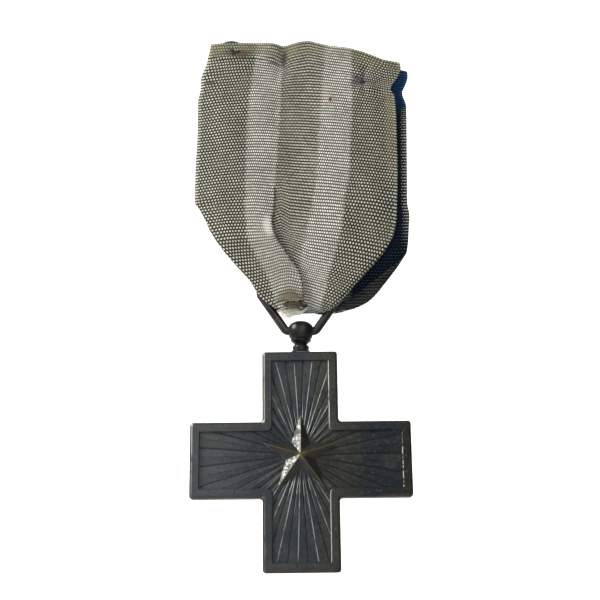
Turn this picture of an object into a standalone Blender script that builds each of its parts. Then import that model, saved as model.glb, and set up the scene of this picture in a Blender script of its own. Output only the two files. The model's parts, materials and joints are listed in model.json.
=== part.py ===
"""Military service medal: a struck metal cross that hangs from a folded ribbon with a sewn-on pin.

The medal hangs upright. +Z is up, +X is to the right of someone looking at the front, and the
front faces -Y. The origin is on the pin needle, straight above the middle of the cross.
"""
import bpy
import bmesh
from math import atan2, cos, pi, radians, sin, tan
from mathutils import Matrix, Vector

MM = 0.001
GAP = 0.03 * MM                      # left between pieces that touch
RIBBON_CLEARANCE = 0.15 * MM         # between the soft ribbon and the ring's bar

# Cross: a struck plate with a raised border, a sunburst and a star
CROSS_SIZE = 38.0 * MM
ARM_WIDTH = 13.1 * MM
CROSS_THICKNESS = 2.4 * MM
EDGE_CHAMFER = 0.45 * MM
BORDER_WIDTH = 1.65 * MM             # outer edge to field
FIELD_DEPTH = 0.55 * MM
WALL_DRAFT = 0.12 * MM               # how far the field's wall leans
BACK_FIELD_DEPTH = 0.30 * MM
OUTER_CORNER_RADIUS = 0.5 * MM
INNER_CORNER_RADIUS = 0.6 * MM
CORNER_STEPS = 3
SHORTEST_EDGE = 0.03 * MM
RAY_COUNT = 33
FIRST_RAY_BEARING = -3.4             # degrees clockwise from straight up
RAY_HEIGHT = 0.22 * MM
STAR_RISE = 0.8 * MM                 # star centre above the cross centre
STAR_RADIUS = 6.5 * MM
STAR_WAIST = 0.43                    # inner corners' radius over the tips' radius
STAR_EDGE_HEIGHT = 0.28 * MM         # above the field
STAR_APEX_HEIGHT = 1.75 * MM         # above the field

# Ball, neck and wire ring
BALL_RADIUS = 2.05 * MM
BALL_SEGMENTS = 40
BORE_RADIUS = 0.76 * MM
NECK_RADIUS = 1.2 * MM
NECK_BEAD_RADIUS = 1.5 * MM
NECK_FOOT_RADIUS = 1.75 * MM
WIRE_RADIUS = 0.675 * MM
RING_HEIGHT = 7.9 * MM               # bar axis above the bore
RING_HALF_BAR = 7.86 * MM            # to the corner's vertex
RING_HALF_BASE = 2.65 * MM
RING_BEND_RADIUS = 0.85 * MM
RING_BEND_STEPS = 5

# Ribbon
RIBBON_THICKNESS = 0.4 * MM          # of one leaf
HEAD_THICKNESS = 2.0 * MM            # two leaves with the turned-in ends between them
HINGE_ROUND = 0.75 * MM              # leaf centre to fold line at the top of the drop
LOOP_DEPTH = 3.2 * MM                # loop bottom below the bar axis
LEAF_COLUMNS = 12

# Levels, from the pin down
PLANE_Y = -3.3 * MM                  # middle plane of the ribbon and cross
HEAD_BOTTOM_Z = -3.6 * MM
RIBBON_FOLD_Z = -4.8 * MM
BAR_Z = -42.67 * MM
BORE_Z = BAR_Z - RING_HEIGHT
CROSS_CENTRE_Z = -73.42 * MM
CROSS_TOP_Z = CROSS_CENTRE_Z + CROSS_SIZE / 2

# Brooch pin behind the ribbon head
PIN_TILT = 13.3                      # degrees, right end lower
PIN_CENTRE_X = -0.75 * MM
PLATE_LENGTH = 28.0 * MM
PLATE_HEIGHT = 2.4 * MM
PLATE_THICKNESS = 0.5 * MM
NEEDLE_HEIGHT = 1.6 * MM            # needle axis behind the plate
NEEDLE_RADIUS = 0.4 * MM
HINGE_OFFSET = 9.0 * MM              # hinge axis right of the plate's centre
NEEDLE_LENGTH = 20.4 * MM
HOOK_OFFSET = -9.4 * MM
HOOK_LENGTH = 2.0 * MM
HOOK_BORE = 0.52 * MM
HOOK_WALL = 0.4 * MM
HOOK_MOUTH = 50.0                    # degrees each side of the opening's middle
HINGE_CANT = 25.0                    # degrees that the needle's axis leans from the ribbon plane
EYE_RADIUS = 1.05 * MM
EYE_HEIGHT = 1.0 * MM
EYE_BORE = 0.48 * MM
RIVET_RADIUS = 0.4 * MM
RIVET_HEAD_RADIUS = 0.7 * MM
RIVET_HEAD_HEIGHT = 0.25 * MM
LUG_THICKNESS = 0.45 * MM
STITCH_HALF_SPAN = 12.5 * MM         # stitches left and right of the plate's centre
STITCH_PITCH = 1.9 * MM              # between the two holes of one stitch
THREAD_RADIUS = 0.22 * MM
THREAD_HOLE_RADIUS = 0.36 * MM


def clear_scene():
    for obj in list(bpy.data.objects):
        bpy.data.objects.remove(obj, do_unlink=True)


def make_material(name, colour, roughness, metallic):
    material = bpy.data.materials.new(name)
    material.use_nodes = True
    shader = material.node_tree.nodes["Principled BSDF"]
    shader.inputs["Base Color"].default_value = (*colour, 1.0)
    shader.inputs["Roughness"].default_value = roughness
    shader.inputs["Metallic"].default_value = metallic
    material.diffuse_color = (*colour, 1.0)
    return material


def make_empty(name, location, rotation=(0.0, 0.0, 0.0), parent=None):
    empty = bpy.data.objects.new(name, None)
    bpy.context.collection.objects.link(empty)
    empty.location = location
    empty.rotation_euler = rotation
    empty.parent = parent
    return empty


def make_object(name, mesh_builder, material, parent, location=(0.0, 0.0, 0.0), smooth=False):
    """Turn a bmesh into a named object with outward normals."""
    bmesh.ops.recalc_face_normals(mesh_builder, faces=mesh_builder.faces)
    mesh = bpy.data.meshes.new(name)
    mesh_builder.to_mesh(mesh)
    mesh_builder.free()
    if smooth:
        mesh.shade_smooth()
        mesh.set_sharp_from_angle(angle=radians(35))
    obj = bpy.data.objects.new(name, mesh)
    bpy.context.collection.objects.link(obj)
    obj.data.materials.append(material)
    obj.parent = parent
    obj.location = location
    return obj


def cut_away(target, cutter):
    """Remove the cutter's volume from the target."""
    cutter.hide_render = True
    cutter.display_type = "WIRE"
    modifier = target.modifiers.new("cut_" + cutter.name, "BOOLEAN")
    modifier.operation = "DIFFERENCE"
    modifier.object = cutter


def join_to(target, tool):
    """Add the tool's volume to the target."""
    tool.hide_render = True
    tool.display_type = "WIRE"
    modifier = target.modifiers.new("join_" + tool.name, "BOOLEAN")
    modifier.operation = "UNION"
    modifier.object = tool


def rod_bmesh(radius, length, axis, segments=24):
    """A cylinder centred on its origin, along a unit axis."""
    bm = bmesh.new()
    turn = Vector((0.0, 0.0, 1.0)).rotation_difference(Vector(axis)).to_matrix().to_4x4()
    bmesh.ops.create_cone(bm, cap_ends=True, segments=segments, radius1=radius, radius2=radius,
                          depth=length, matrix=turn)
    return bm


def box_bmesh(low, high):
    bm = bmesh.new()
    size = [h - l for l, h in zip(low, high)]
    middle = [(h + l) / 2 for l, h in zip(low, high)]
    place = Matrix.Translation(middle) @ Matrix.Diagonal((*size, 1.0))
    bmesh.ops.create_cube(bm, size=1.0, matrix=place)
    return bm


def turned_bmesh(profile, segments):
    """A closed turned piece about Z from (radius, z) points, bottom to top, on the axis at both ends."""
    bm = bmesh.new()
    rings = []
    for radius, height in profile:
        if radius == 0.0:
            rings.append([bm.verts.new((0.0, 0.0, height))])
            continue
        ring = []
        for step in range(segments):
            angle = 2 * pi * step / segments
            ring.append(bm.verts.new((radius * cos(angle), radius * sin(angle), height)))
        rings.append(ring)
    for lower, upper in zip(rings, rings[1:]):
        for step in range(segments):
            corners = [lower[step % len(lower)], lower[(step + 1) % len(lower)],
                       upper[(step + 1) % len(upper)], upper[step % len(upper)]]
            bm.faces.new(list(dict.fromkeys(corners)))
    return bm


def plate_bmesh(outline, front, back):
    """A flat plate whose outline is given in (x, z), between two y levels."""
    bm = bmesh.new()
    face = bm.faces.new([bm.verts.new((x, front, z)) for x, z in outline])
    grown = bmesh.ops.extrude_face_region(bm, geom=[face])
    moved = [item for item in grown["geom"] if isinstance(item, bmesh.types.BMVert)]
    bmesh.ops.translate(bm, verts=moved, vec=(0.0, back - front, 0.0))
    return bm


# ---- cross -------------------------------------------------------------------------------------

def rounded_corner(before, corner, after, radius, steps):
    """Points of the arc that rounds a right-angled corner."""
    to_before = (before - corner).normalized()
    to_after = (after - corner).normalized()
    centre = corner + (to_before + to_after) * radius
    points = []
    for step in range(steps + 1):
        angle = pi / 2 * step / steps
        points.append(centre - to_after * radius * cos(angle) - to_before * radius * sin(angle))
    return points


def cross_outline(inset):
    """The cross seen from the front, shrunk by inset, as points about the star centre."""
    reach = CROSS_SIZE / 2 - inset
    half = ARM_WIDTH / 2 - inset
    corners = []
    for quarter in range(4):
        turn = Matrix.Rotation(-pi / 2 * quarter, 2)
        for x, z in ((-half, reach), (half, reach), (half, half)):
            corners.append(turn @ Vector((x, z)))
    outer = max(OUTER_CORNER_RADIUS - inset * 0.2, 0.15 * MM)
    inner = INNER_CORNER_RADIUS + inset * 0.2
    points = []
    for index, corner in enumerate(corners):
        before = corners[index - 1]
        after = corners[(index + 1) % len(corners)]
        radius = inner if index % 3 == 2 else outer
        points += rounded_corner(before, corner, after, radius, CORNER_STEPS)
    return [point - Vector((0.0, STAR_RISE)) for point in points]


def star_outline(grow):
    points = []
    for index in range(10):
        bearing = radians(36.0 * index)
        radius = STAR_RADIUS + grow if index % 2 == 0 else (STAR_RADIUS + grow) * STAR_WAIST
        points.append(Vector((radius * sin(bearing), radius * cos(bearing))))
    return points


def bearing_of(point):
    return atan2(point.x, point.y) % (2 * pi)


def reach_of(outline, bearing):
    """Distance from the star centre to a closed outline in one direction."""
    direction = Vector((sin(bearing), cos(bearing)))
    farthest = 0.0
    for start, end in zip(outline, outline[1:] + outline[:1]):
        side = end - start
        spread = direction.x * side.y - direction.y * side.x
        if abs(spread) < 1e-12:
            continue
        distance = (start.x * side.y - start.y * side.x) / spread
        share = (start.x * direction.y - start.y * direction.x) / spread
        if -1e-6 <= share <= 1.0 + 1e-6 and distance > farthest:
            farthest = distance
    return farthest


def ray_level(bearing):
    """Height of the sunburst above the field floor: 1 on a ridge, 0 in a groove."""
    pitch = 2 * pi / RAY_COUNT
    phase = ((bearing - radians(FIRST_RAY_BEARING)) / pitch) % 1.0
    return abs(2.0 * phase - 1.0)


def merged_bearings(outlines):
    """Every direction in which an outline has a corner or the sunburst has a ridge or groove."""
    bearings = [bearing_of(point) for outline in outlines for point in outline]
    half_pitch = pi / RAY_COUNT
    bearings += [(radians(FIRST_RAY_BEARING) + half_pitch * k) % (2 * pi) for k in range(2 * RAY_COUNT)]
    bearings.sort()
    kept = []
    for bearing in bearings:
        if not kept or bearing - kept[-1] > radians(0.12):
            kept.append(bearing)
    return kept


def build_cross(material, parent):
    """One struck piece: border, sunburst field, star and a plain bordered back."""
    front = -CROSS_THICKNESS / 2
    back = CROSS_THICKNESS / 2
    field = front + FIELD_DEPTH
    outer = cross_outline(0.0)
    rim = cross_outline(EDGE_CHAMFER)
    wall_top = cross_outline(BORDER_WIDTH - WALL_DRAFT)
    wall_foot = cross_outline(BORDER_WIDTH)
    star_top = star_outline(0.0)
    star_foot = star_outline(0.08 * MM)
    bearings = merged_bearings([outer, rim, wall_top, wall_foot, star_top, star_foot])

    def floor_level(bearing):
        return field - RAY_HEIGHT * ray_level(bearing)

    layers = [
        (star_top, lambda bearing: field - STAR_EDGE_HEIGHT),
        (star_foot, floor_level),
        (wall_foot, floor_level),
        (wall_top, lambda bearing: front),
        (rim, lambda bearing: front),
        (outer, lambda bearing: front + EDGE_CHAMFER * 0.8),
        (outer, lambda bearing: back - EDGE_CHAMFER * 0.8),
        (rim, lambda bearing: back),
        (wall_top, lambda bearing: back),
        (wall_foot, lambda bearing: back - BACK_FIELD_DEPTH),
    ]
    bm = bmesh.new()
    rings = []
    for outline, level in layers:
        ring = []
        for bearing in bearings:
            reach = reach_of(outline, bearing)
            ring.append(bm.verts.new((reach * sin(bearing), level(bearing), reach * cos(bearing))))
        rings.append(ring)
    count = len(bearings)
    apex = bm.verts.new((0.0, field - STAR_APEX_HEIGHT, 0.0))
    for step in range(count):
        bm.faces.new((apex, rings[0][step], rings[0][(step + 1) % count]))
    for inner_ring, outer_ring in zip(rings, rings[1:]):
        for step in range(count):
            after = (step + 1) % count
            bm.faces.new((inner_ring[step], outer_ring[step], outer_ring[after], inner_ring[after]))
    bm.faces.new(rings[-1])
    bmesh.ops.remove_doubles(bm, verts=bm.verts, dist=SHORTEST_EDGE)
    bmesh.ops.triangulate(bm, faces=bm.faces)
    centre = (0.0, 0.0, CROSS_CENTRE_Z + STAR_RISE - BORE_Z)
    return make_object("cross_body", bm, material, parent, centre)


# ---- ball and neck -----------------------------------------------------------------------------

def build_ball(material, parent):
    """A ball drilled crosswise for the ring, cut flat underneath where the neck meets it."""
    seat = -BALL_RADIUS * 0.90
    steps = 20
    profile = [(0.0, seat)]
    start = atan2(seat, (BALL_RADIUS ** 2 - seat ** 2) ** 0.5)
    for step in range(steps):
        angle = start + (pi / 2 - start) * step / steps
        profile.append((BALL_RADIUS * cos(angle), BALL_RADIUS * sin(angle)))
    profile.append((0.0, BALL_RADIUS))
    ball = make_object("suspension_ball", turned_bmesh(profile, BALL_SEGMENTS), material, parent, smooth=True)
    bore = make_object("ball_bore", rod_bmesh(BORE_RADIUS, BALL_RADIUS * 3, (1, 0, 0)), material, parent)
    cut_away(ball, bore)
    return ball


def build_neck(material, parent):
    """The turned collar between the ball and the top arm."""
    top = -BALL_RADIUS * 0.90 - GAP
    foot = CROSS_TOP_Z - BORE_Z + GAP
    height = top - foot
    profile = [
        (0.0, foot),
        (NECK_FOOT_RADIUS, foot),
        (NECK_FOOT_RADIUS, foot + height * 0.18),
        (NECK_RADIUS, foot + height * 0.40),
        (NECK_RADIUS, foot + height * 0.55),
        (NECK_BEAD_RADIUS * 0.93, foot + height * 0.62),
        (NECK_BEAD_RADIUS, foot + height * 0.75),
        (NECK_BEAD_RADIUS * 0.93, foot + height * 0.88),
        (NECK_RADIUS * 0.95, top),
        (0.0, top),
    ]
    return make_object("neck_collar", turned_bmesh(profile, 32), material, parent, smooth=True)


# ---- ring --------------------------------------------------------------------------------------

def bent_corner(before, corner, after, radius, steps):
    """Arc points that round any corner with a bend of the given radius."""
    to_before = (before - corner).normalized()
    to_after = (after - corner).normalized()
    half_angle = to_before.angle(to_after) / 2
    reach = radius / tan(half_angle)
    start = corner + to_before * reach
    end = corner + to_after * reach
    centre = corner + (to_before + to_after).normalized() * radius / sin(half_angle)
    points = []
    for step in range(steps + 1):
        spoke = (start - centre).normalized().slerp((end - centre).normalized(), step / steps)
        points.append(centre + spoke * radius)
    return points


def build_ring(material, parent):
    """Round wire bent to a triangle; its short side runs through the ball."""
    corners = [
        Vector((-RING_HALF_BAR, 0.0, 0.0)),
        Vector((RING_HALF_BAR, 0.0, 0.0)),
        Vector((RING_HALF_BASE, 0.0, -RING_HEIGHT)),
        Vector((-RING_HALF_BASE, 0.0, -RING_HEIGHT)),
    ]
    route = []
    for index, corner in enumerate(corners):
        before = corners[index - 1]
        after = corners[(index + 1) % len(corners)]
        route += bent_corner(before, corner, after, RING_BEND_RADIUS, RING_BEND_STEPS)
    curve = bpy.data.curves.new("suspension_ring", "CURVE")
    curve.dimensions = "3D"
    curve.bevel_depth = WIRE_RADIUS
    curve.bevel_resolution = 3
    spline = curve.splines.new("POLY")
    spline.points.add(len(route) - 1)
    for point, place in zip(spline.points, route):
        point.co = (*place, 1.0)
    spline.use_cyclic_u = True
    ring = bpy.data.objects.new("suspension_ring", curve)
    bpy.context.collection.objects.link(ring)
    curve.materials.append(material)
    ring.parent = parent
    return ring


# ---- ribbon ------------------------------------------------------------------------------------

def level_of(levels, z):
    """Read a value at height z from (z, value) pairs that run downwards."""
    for (z_high, high), (z_low, low) in zip(levels, levels[1:]):
        if z >= z_low:
            share = min(max((z_high - z) / (z_high - z_low), 0.0), 1.0)
            share = share * share * (3 - 2 * share)
            return high + (low - high) * share
    return levels[-1][1]


# Left and right edges of each leaf, millimetres: height above the bar axis, then x
FRONT_LEFT = [(38.3, -18.8), (35.0, -19.2), (16.0, -19.2), (14.0, -18.2), (7.0, -14.4), (1.2, -8.7), (0.9, -5.6)]
FRONT_RIGHT = [(38.3, 17.4), (35.0, 17.7), (14.0, 17.4), (8.0, 15.9), (3.5, 12.3), (1.2, 9.4), (0.9, 5.6)]
REAR_LEFT = [(38.3, -17.6), (35.0, -17.6), (16.0, -17.4), (7.0, -13.2), (1.2, -8.4), (0.9, -5.6)]
REAR_RIGHT = [(38.3, 19.3), (35.0, 19.6), (12.0, 19.6), (7.0, 18.6), (3.0, 14.4), (1.2, 10.4), (0.9, 5.6)]
LOOP_HALF_WIDTH = [(0.9, 5.6), (-1.4, 4.9), (-3.4, 3.9)]

# Sewn top of the ribbon from its left side over the uneven top edge, millimetres (x, z)
HEAD_OUTLINE = [(-18.3, -2.3), (-17.6, 1.0), (-17.0, 4.7), (-3.9, 4.5), (1.8, 5.2), (5.5, 4.1), (9.4, 3.8),
                (11.4, 3.1), (15.4, 1.3), (18.9, 0.3), (20.2, -0.2), (19.6, -2.6)]
HEAD_LEFT = -18.7 * MM
HEAD_RIGHT = 19.2 * MM


def leaf_edges(height, rear):
    """Left and right edge of a leaf at a height above the bar axis, in metres."""
    z = height / MM
    if z < 0.9:
        half = level_of(LOOP_HALF_WIDTH, z)
        return -half * MM, half * MM
    left = level_of(REAR_LEFT if rear else FRONT_LEFT, z)
    right = level_of(REAR_RIGHT if rear else FRONT_RIGHT, z)
    return left * MM, right * MM


def ribbon_section():
    """The drop seen from its side: (y, height above the bar, is it the rear leaf), once round."""
    bar_clear = WIRE_RADIUS + RIBBON_CLEARANCE + RIBBON_THICKNESS / 2
    top = RIBBON_FOLD_Z - BAR_Z
    leaf = [(top, HINGE_ROUND), (top - 2.5 * MM, 0.62 * MM), (30.0 * MM, 0.45 * MM), (24.0 * MM, 0.45 * MM),
            (18.0 * MM, 0.45 * MM), (14.0 * MM, 0.45 * MM), (10.0 * MM, 0.50 * MM), (7.0 * MM, 0.62 * MM),
            (4.0 * MM, 0.85 * MM), (2.2 * MM, bar_clear), (1.2 * MM, bar_clear), (0.9 * MM, bar_clear),
            (0.0, bar_clear), (-0.8 * MM, bar_clear)]
    section = []
    for step in range(1, 6):
        angle = pi * step / 6
        section.append((HINGE_ROUND * cos(angle), top + HINGE_ROUND * sin(angle), step < 3))
    section += [(-y, height, False) for height, y in leaf]
    loop_start = leaf[-1][0]
    for step in range(1, 8):
        angle = pi * step / 8
        depth = (LOOP_DEPTH - RIBBON_THICKNESS / 2 + loop_start) * sin(angle)
        section.append((-bar_clear * cos(angle), loop_start - depth, step > 4))
    section += [(y, height, True) for height, y in reversed(leaf)]
    return section


def build_ribbon_drop(material, parent):
    """Both leaves of the hanging ribbon and the loop that holds the ring's bar, as one strip."""
    bm = bmesh.new()
    rows = []
    top = RIBBON_FOLD_Z - BAR_Z
    for y, height, rear in ribbon_section():
        left, right = leaf_edges(min(height, top), rear)
        row = []
        for column in range(LEAF_COLUMNS + 1):
            x = left + (right - left) * column / LEAF_COLUMNS
            row.append(bm.verts.new((x, y, height - top)))
        rows.append(row)
    for index, row in enumerate(rows):
        after = rows[(index + 1) % len(rows)]
        for column in range(LEAF_COLUMNS):
            bm.faces.new((row[column], row[column + 1], after[column + 1], after[column]))
    drop = make_object("ribbon_drop", bm, material, parent)
    solid = drop.modifiers.new("thickness", "SOLIDIFY")
    solid.thickness = RIBBON_THICKNESS
    solid.offset = 0.0
    return drop


def build_ribbon_head(material, parent, holes):
    """The sewn top of the ribbon: two leaves with the turned-in ends between them."""
    outline = [(x * MM, z * MM) for x, z in HEAD_OUTLINE]
    outline += [(HEAD_RIGHT, HEAD_BOTTOM_Z), (HEAD_LEFT, HEAD_BOTTOM_Z)]
    bm = plate_bmesh(outline, PLANE_Y - HEAD_THICKNESS / 2, PLANE_Y + HEAD_THICKNESS / 2)
    head = make_object("ribbon_head", bm, material, parent)
    for hole in holes:
        cut_away(head, hole)
    return head


# ---- brooch pin --------------------------------------------------------------------------------

def plate_back():
    """How far the plate's rear face is in front of the needle axis, in the pin's own frame."""
    return -NEEDLE_HEIGHT


def build_pin_plate(material, pin_frame, holes):
    half = PLATE_HEIGHT / 2
    straight = PLATE_LENGTH / 2 - half
    outline = []
    for side, start in ((1, pi / 2), (-1, -pi / 2)):
        for step in range(9):
            angle = start - pi * step / 8
            outline.append((side * straight + half * cos(angle), half * sin(angle)))
    bm = plate_bmesh(outline, plate_back() - PLATE_THICKNESS, plate_back())
    plate = make_object("pin_plate", bm, material, pin_frame)
    for hole in holes:
        cut_away(plate, hole)
    return plate


def build_thread_holes(material, pin_frame):
    """Cutters for the four holes that the two stitches pass through."""
    holes = []
    for side in (-1, 1):
        for half in (-1, 1):
            name = "hole_%s_%s" % ("left" if side < 0 else "right", "a" if half < 0 else "b")
            x = side * STITCH_HALF_SPAN + half * STITCH_PITCH / 2
            bm = rod_bmesh(THREAD_HOLE_RADIUS, 8 * MM, (0, 1, 0), segments=12)
            holes.append(make_object(name, bm, material, pin_frame, (x, PLANE_Y, 0.0)))
    return holes


def build_stitch(name, side, material, pin_frame):
    """A closed thread loop through ribbon and plate."""
    front = PLANE_Y - HEAD_THICKNESS / 2 - THREAD_RADIUS - GAP
    back = plate_back() + THREAD_RADIUS + GAP
    half = STITCH_PITCH / 2
    corners = [Vector((-half, front, 0)), Vector((half, front, 0)), Vector((half, back, 0)), Vector((-half, back, 0))]
    route = []
    for index, corner in enumerate(corners):
        before = corners[index - 1]
        after = corners[(index + 1) % len(corners)]
        route += bent_corner(before, corner, after, THREAD_RADIUS * 1.3, 3)
    curve = bpy.data.curves.new(name, "CURVE")
    curve.dimensions = "3D"
    curve.bevel_depth = THREAD_RADIUS
    curve.bevel_resolution = 2
    spline = curve.splines.new("POLY")
    spline.points.add(len(route) - 1)
    for point, place in zip(spline.points, route):
        point.co = (*place, 1.0)
    spline.use_cyclic_u = True
    stitch = bpy.data.objects.new(name, curve)
    bpy.context.collection.objects.link(stitch)
    curve.materials.append(material)
    stitch.parent = pin_frame
    stitch.location = (side * STITCH_HALF_SPAN, 0.0, 0.0)
    return stitch


def build_hinge_bracket(material, pin_frame, hinge_frame):
    """Two lugs joined at their outer end, standing on the plate."""
    half_height = EYE_HEIGHT / 2 + GAP + LUG_THICKNESS
    width = EYE_RADIUS * 0.95
    low = (-width, -3.0 * MM, -half_height)
    high = (EYE_RADIUS + 0.6 * MM, width, half_height)
    bracket = make_object("hinge_bracket", box_bmesh(low, high), material, hinge_frame)
    slot_half = EYE_HEIGHT / 2 + GAP
    slot_low = (-5 * MM, -4.0 * MM, -slot_half)
    slot_high = (EYE_RADIUS + 0.08 * MM, 4 * MM, slot_half)
    cut_away(bracket, make_object("bracket_slot", box_bmesh(slot_low, slot_high), material, hinge_frame))
    bore = rod_bmesh(RIVET_RADIUS + GAP, 8 * MM, (0, 0, 1))
    cut_away(bracket, make_object("bracket_bore", bore, material, hinge_frame))
    below = box_bmesh((-9 * MM, -9 * MM, -9 * MM), (9 * MM, plate_back() + GAP, 9 * MM))
    cut_away(bracket, make_object("bracket_foot_plane", below, material, pin_frame, (HINGE_OFFSET, 0, 0)))
    return bracket


def build_hinge_rivet(material, hinge_frame):
    reach = EYE_HEIGHT / 2 + 2 * GAP + LUG_THICKNESS
    profile = [(0.0, -reach - RIVET_HEAD_HEIGHT), (RIVET_HEAD_RADIUS * 0.7, -reach - RIVET_HEAD_HEIGHT),
               (RIVET_HEAD_RADIUS, -reach - RIVET_HEAD_HEIGHT * 0.4), (RIVET_HEAD_RADIUS, -reach),
               (RIVET_RADIUS, -reach), (RIVET_RADIUS, reach), (RIVET_HEAD_RADIUS, reach),
               (RIVET_HEAD_RADIUS, reach + RIVET_HEAD_HEIGHT * 0.4),
               (RIVET_HEAD_RADIUS * 0.7, reach + RIVET_HEAD_HEIGHT), (0.0, reach + RIVET_HEAD_HEIGHT)]
    return make_object("hinge_rivet", turned_bmesh(profile, 20), material, hinge_frame, smooth=True)


def build_needle(material, hinge_frame):
    """A tapered needle with an eye for the rivet; it points to -X of its own frame."""
    eye = make_object("pin_needle", rod_bmesh(EYE_RADIUS, EYE_HEIGHT, (0, 0, 1)), material, hinge_frame, smooth=True)
    taper = 5.0 * MM
    profile = [(0.0, 0.0), (NEEDLE_RADIUS, 0.0), (NEEDLE_RADIUS, NEEDLE_LENGTH - taper),
               (NEEDLE_RADIUS * 0.62, NEEDLE_LENGTH - taper * 0.4), (0.0, NEEDLE_LENGTH)]
    bm = turned_bmesh(profile, 16)
    bmesh.ops.rotate(bm, cent=(0, 0, 0), matrix=Matrix.Rotation(-pi / 2, 3, "Y"), verts=bm.verts)
    rod_start = EYE_RADIUS * 0.7
    rod = make_object("needle_rod", bm, material, hinge_frame, (-rod_start, 0.0, 0.0))
    join_to(eye, rod)
    cut_away(eye, make_object("eye_bore", rod_bmesh(EYE_BORE, 4 * MM, (0, 0, 1)), material, hinge_frame))
    return eye


def build_catch_hook(material, pin_frame):
    """An open C with its mouth up and away from the ribbon, on a foot that stands on the plate."""
    outer = HOOK_BORE + HOOK_WALL
    mouth = radians(HINGE_CANT)
    start = mouth + radians(HOOK_MOUTH)
    sweep = 2 * pi - 2 * radians(HOOK_MOUTH)
    steps = 20
    angles = [start + sweep * step / steps for step in range(steps + 1)]
    inside = [(HOOK_BORE * cos(a), HOOK_BORE * sin(a)) for a in angles]
    outside = [(outer * cos(a), outer * sin(a)) for a in reversed(angles)]
    bm = bmesh.new()
    outline = inside + outside
    face = bm.faces.new([bm.verts.new((0.0, y, z)) for y, z in outline])
    grown = bmesh.ops.extrude_face_region(bm, geom=[face])
    moved = [item for item in grown["geom"] if isinstance(item, bmesh.types.BMVert)]
    bmesh.ops.translate(bm, verts=moved, vec=(HOOK_LENGTH, 0.0, 0.0))
    hook = make_object("catch_hook", bm, material, pin_frame, (HOOK_OFFSET - HOOK_LENGTH / 2, 0.0, 0.0))
    foot = box_bmesh((0.0, plate_back() + GAP, -0.55 * MM), (HOOK_LENGTH, -HOOK_BORE - HOOK_WALL * 0.4, 0.55 * MM))
    join_to(hook, make_object("hook_foot", foot, material, pin_frame, (HOOK_OFFSET - HOOK_LENGTH / 2, 0.0, 0.0)))
    return hook


def build_medal():
    clear_scene()
    bronze = make_material("dark_bronze", (0.055, 0.056, 0.054), 0.45, 1.0)
    wire = make_material("darkened_wire", (0.045, 0.045, 0.042), 0.42, 1.0)
    silk = make_material("ribbon_silk", (0.30, 0.30, 0.25), 0.85, 0.0)
    steel = make_material("pin_steel", (0.42, 0.38, 0.32), 0.4, 1.0)
    thread = make_material("dark_thread", (0.03, 0.03, 0.04), 0.9, 0.0)

    tilt = radians(PIN_TILT)
    pin_centre = (PIN_CENTRE_X, 0.0, -PIN_CENTRE_X * tan(tilt))
    pin_frame = make_empty("pin_frame", pin_centre, (0.0, tilt, 0.0))
    hinge_frame = make_empty("needle_axis", (HINGE_OFFSET, 0.0, 0.0), (radians(HINGE_CANT), 0.0, 0.0), pin_frame)
    ribbon_axis = make_empty("ribbon_axis", (0.0, PLANE_Y, RIBBON_FOLD_Z))
    ring_axis = make_empty("ring_axis", (0.0, PLANE_Y, BAR_Z))
    cross_axis = make_empty("cross_axis", (0.0, PLANE_Y, BORE_Z))

    holes = build_thread_holes(thread, pin_frame)
    build_ribbon_head(silk, None, holes)
    build_pin_plate(steel, pin_frame, holes)
    build_stitch("stitch_left", -1, thread, pin_frame)
    build_stitch("stitch_right", 1, thread, pin_frame)
    build_hinge_bracket(steel, pin_frame, hinge_frame)
    build_hinge_rivet(steel, hinge_frame)
    build_needle(steel, hinge_frame)
    build_catch_hook(steel, pin_frame)

    build_ribbon_drop(silk, ribbon_axis)
    build_ring(wire, ring_axis)
    build_ball(bronze, cross_axis)
    build_neck(bronze, cross_axis)
    build_cross(bronze, cross_axis)


build_medal()
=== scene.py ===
"""The looks of a military service medal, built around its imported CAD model."""

import json
from functools import partialmethod
from math import acos, cos, pi, radians, sin, tan

import bpy
import bmesh
import numpy as np
from mathutils import Matrix, Vector


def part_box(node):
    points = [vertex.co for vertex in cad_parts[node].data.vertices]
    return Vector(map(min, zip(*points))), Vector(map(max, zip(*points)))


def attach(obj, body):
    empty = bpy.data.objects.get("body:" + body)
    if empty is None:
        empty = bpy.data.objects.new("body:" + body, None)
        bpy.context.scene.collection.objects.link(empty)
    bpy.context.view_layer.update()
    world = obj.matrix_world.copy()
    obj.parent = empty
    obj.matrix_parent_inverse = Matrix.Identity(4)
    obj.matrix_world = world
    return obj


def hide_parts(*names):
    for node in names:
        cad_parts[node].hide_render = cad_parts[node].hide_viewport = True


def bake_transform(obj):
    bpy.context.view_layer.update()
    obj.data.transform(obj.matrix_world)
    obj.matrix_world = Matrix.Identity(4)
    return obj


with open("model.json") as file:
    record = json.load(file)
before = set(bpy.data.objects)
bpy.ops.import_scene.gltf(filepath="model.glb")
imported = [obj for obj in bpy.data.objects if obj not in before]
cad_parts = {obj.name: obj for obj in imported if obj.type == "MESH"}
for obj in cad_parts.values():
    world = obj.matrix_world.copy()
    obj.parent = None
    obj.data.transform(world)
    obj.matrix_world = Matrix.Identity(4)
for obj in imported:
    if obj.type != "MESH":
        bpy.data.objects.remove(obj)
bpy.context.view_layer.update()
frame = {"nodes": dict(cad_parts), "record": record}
MM = 0.001

JOINT_AT = {joint["name"]: Vector(joint["pos_m"]) for joint in frame["record"]["behaviour"]["joints"]}
BAR_AT = JOINT_AT["ring_swing"]
BORE_AT = JOINT_AT["cross_swing"]
PLANE_Y = BAR_AT.y


# ---- camera, light and floor -------------------------------------------------------------------

CAMERA_TILT = radians(15.0)          # the camera looks up at the medal
CAMERA_DISTANCE = 195.0 * MM
CAMERA_AIM = Vector((-0.14 * MM, PLANE_Y, BAR_AT.z - 2.2 * MM))
CAMERA_LENS = 65.64                  # millimetres on a 36 mm sensor

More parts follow.
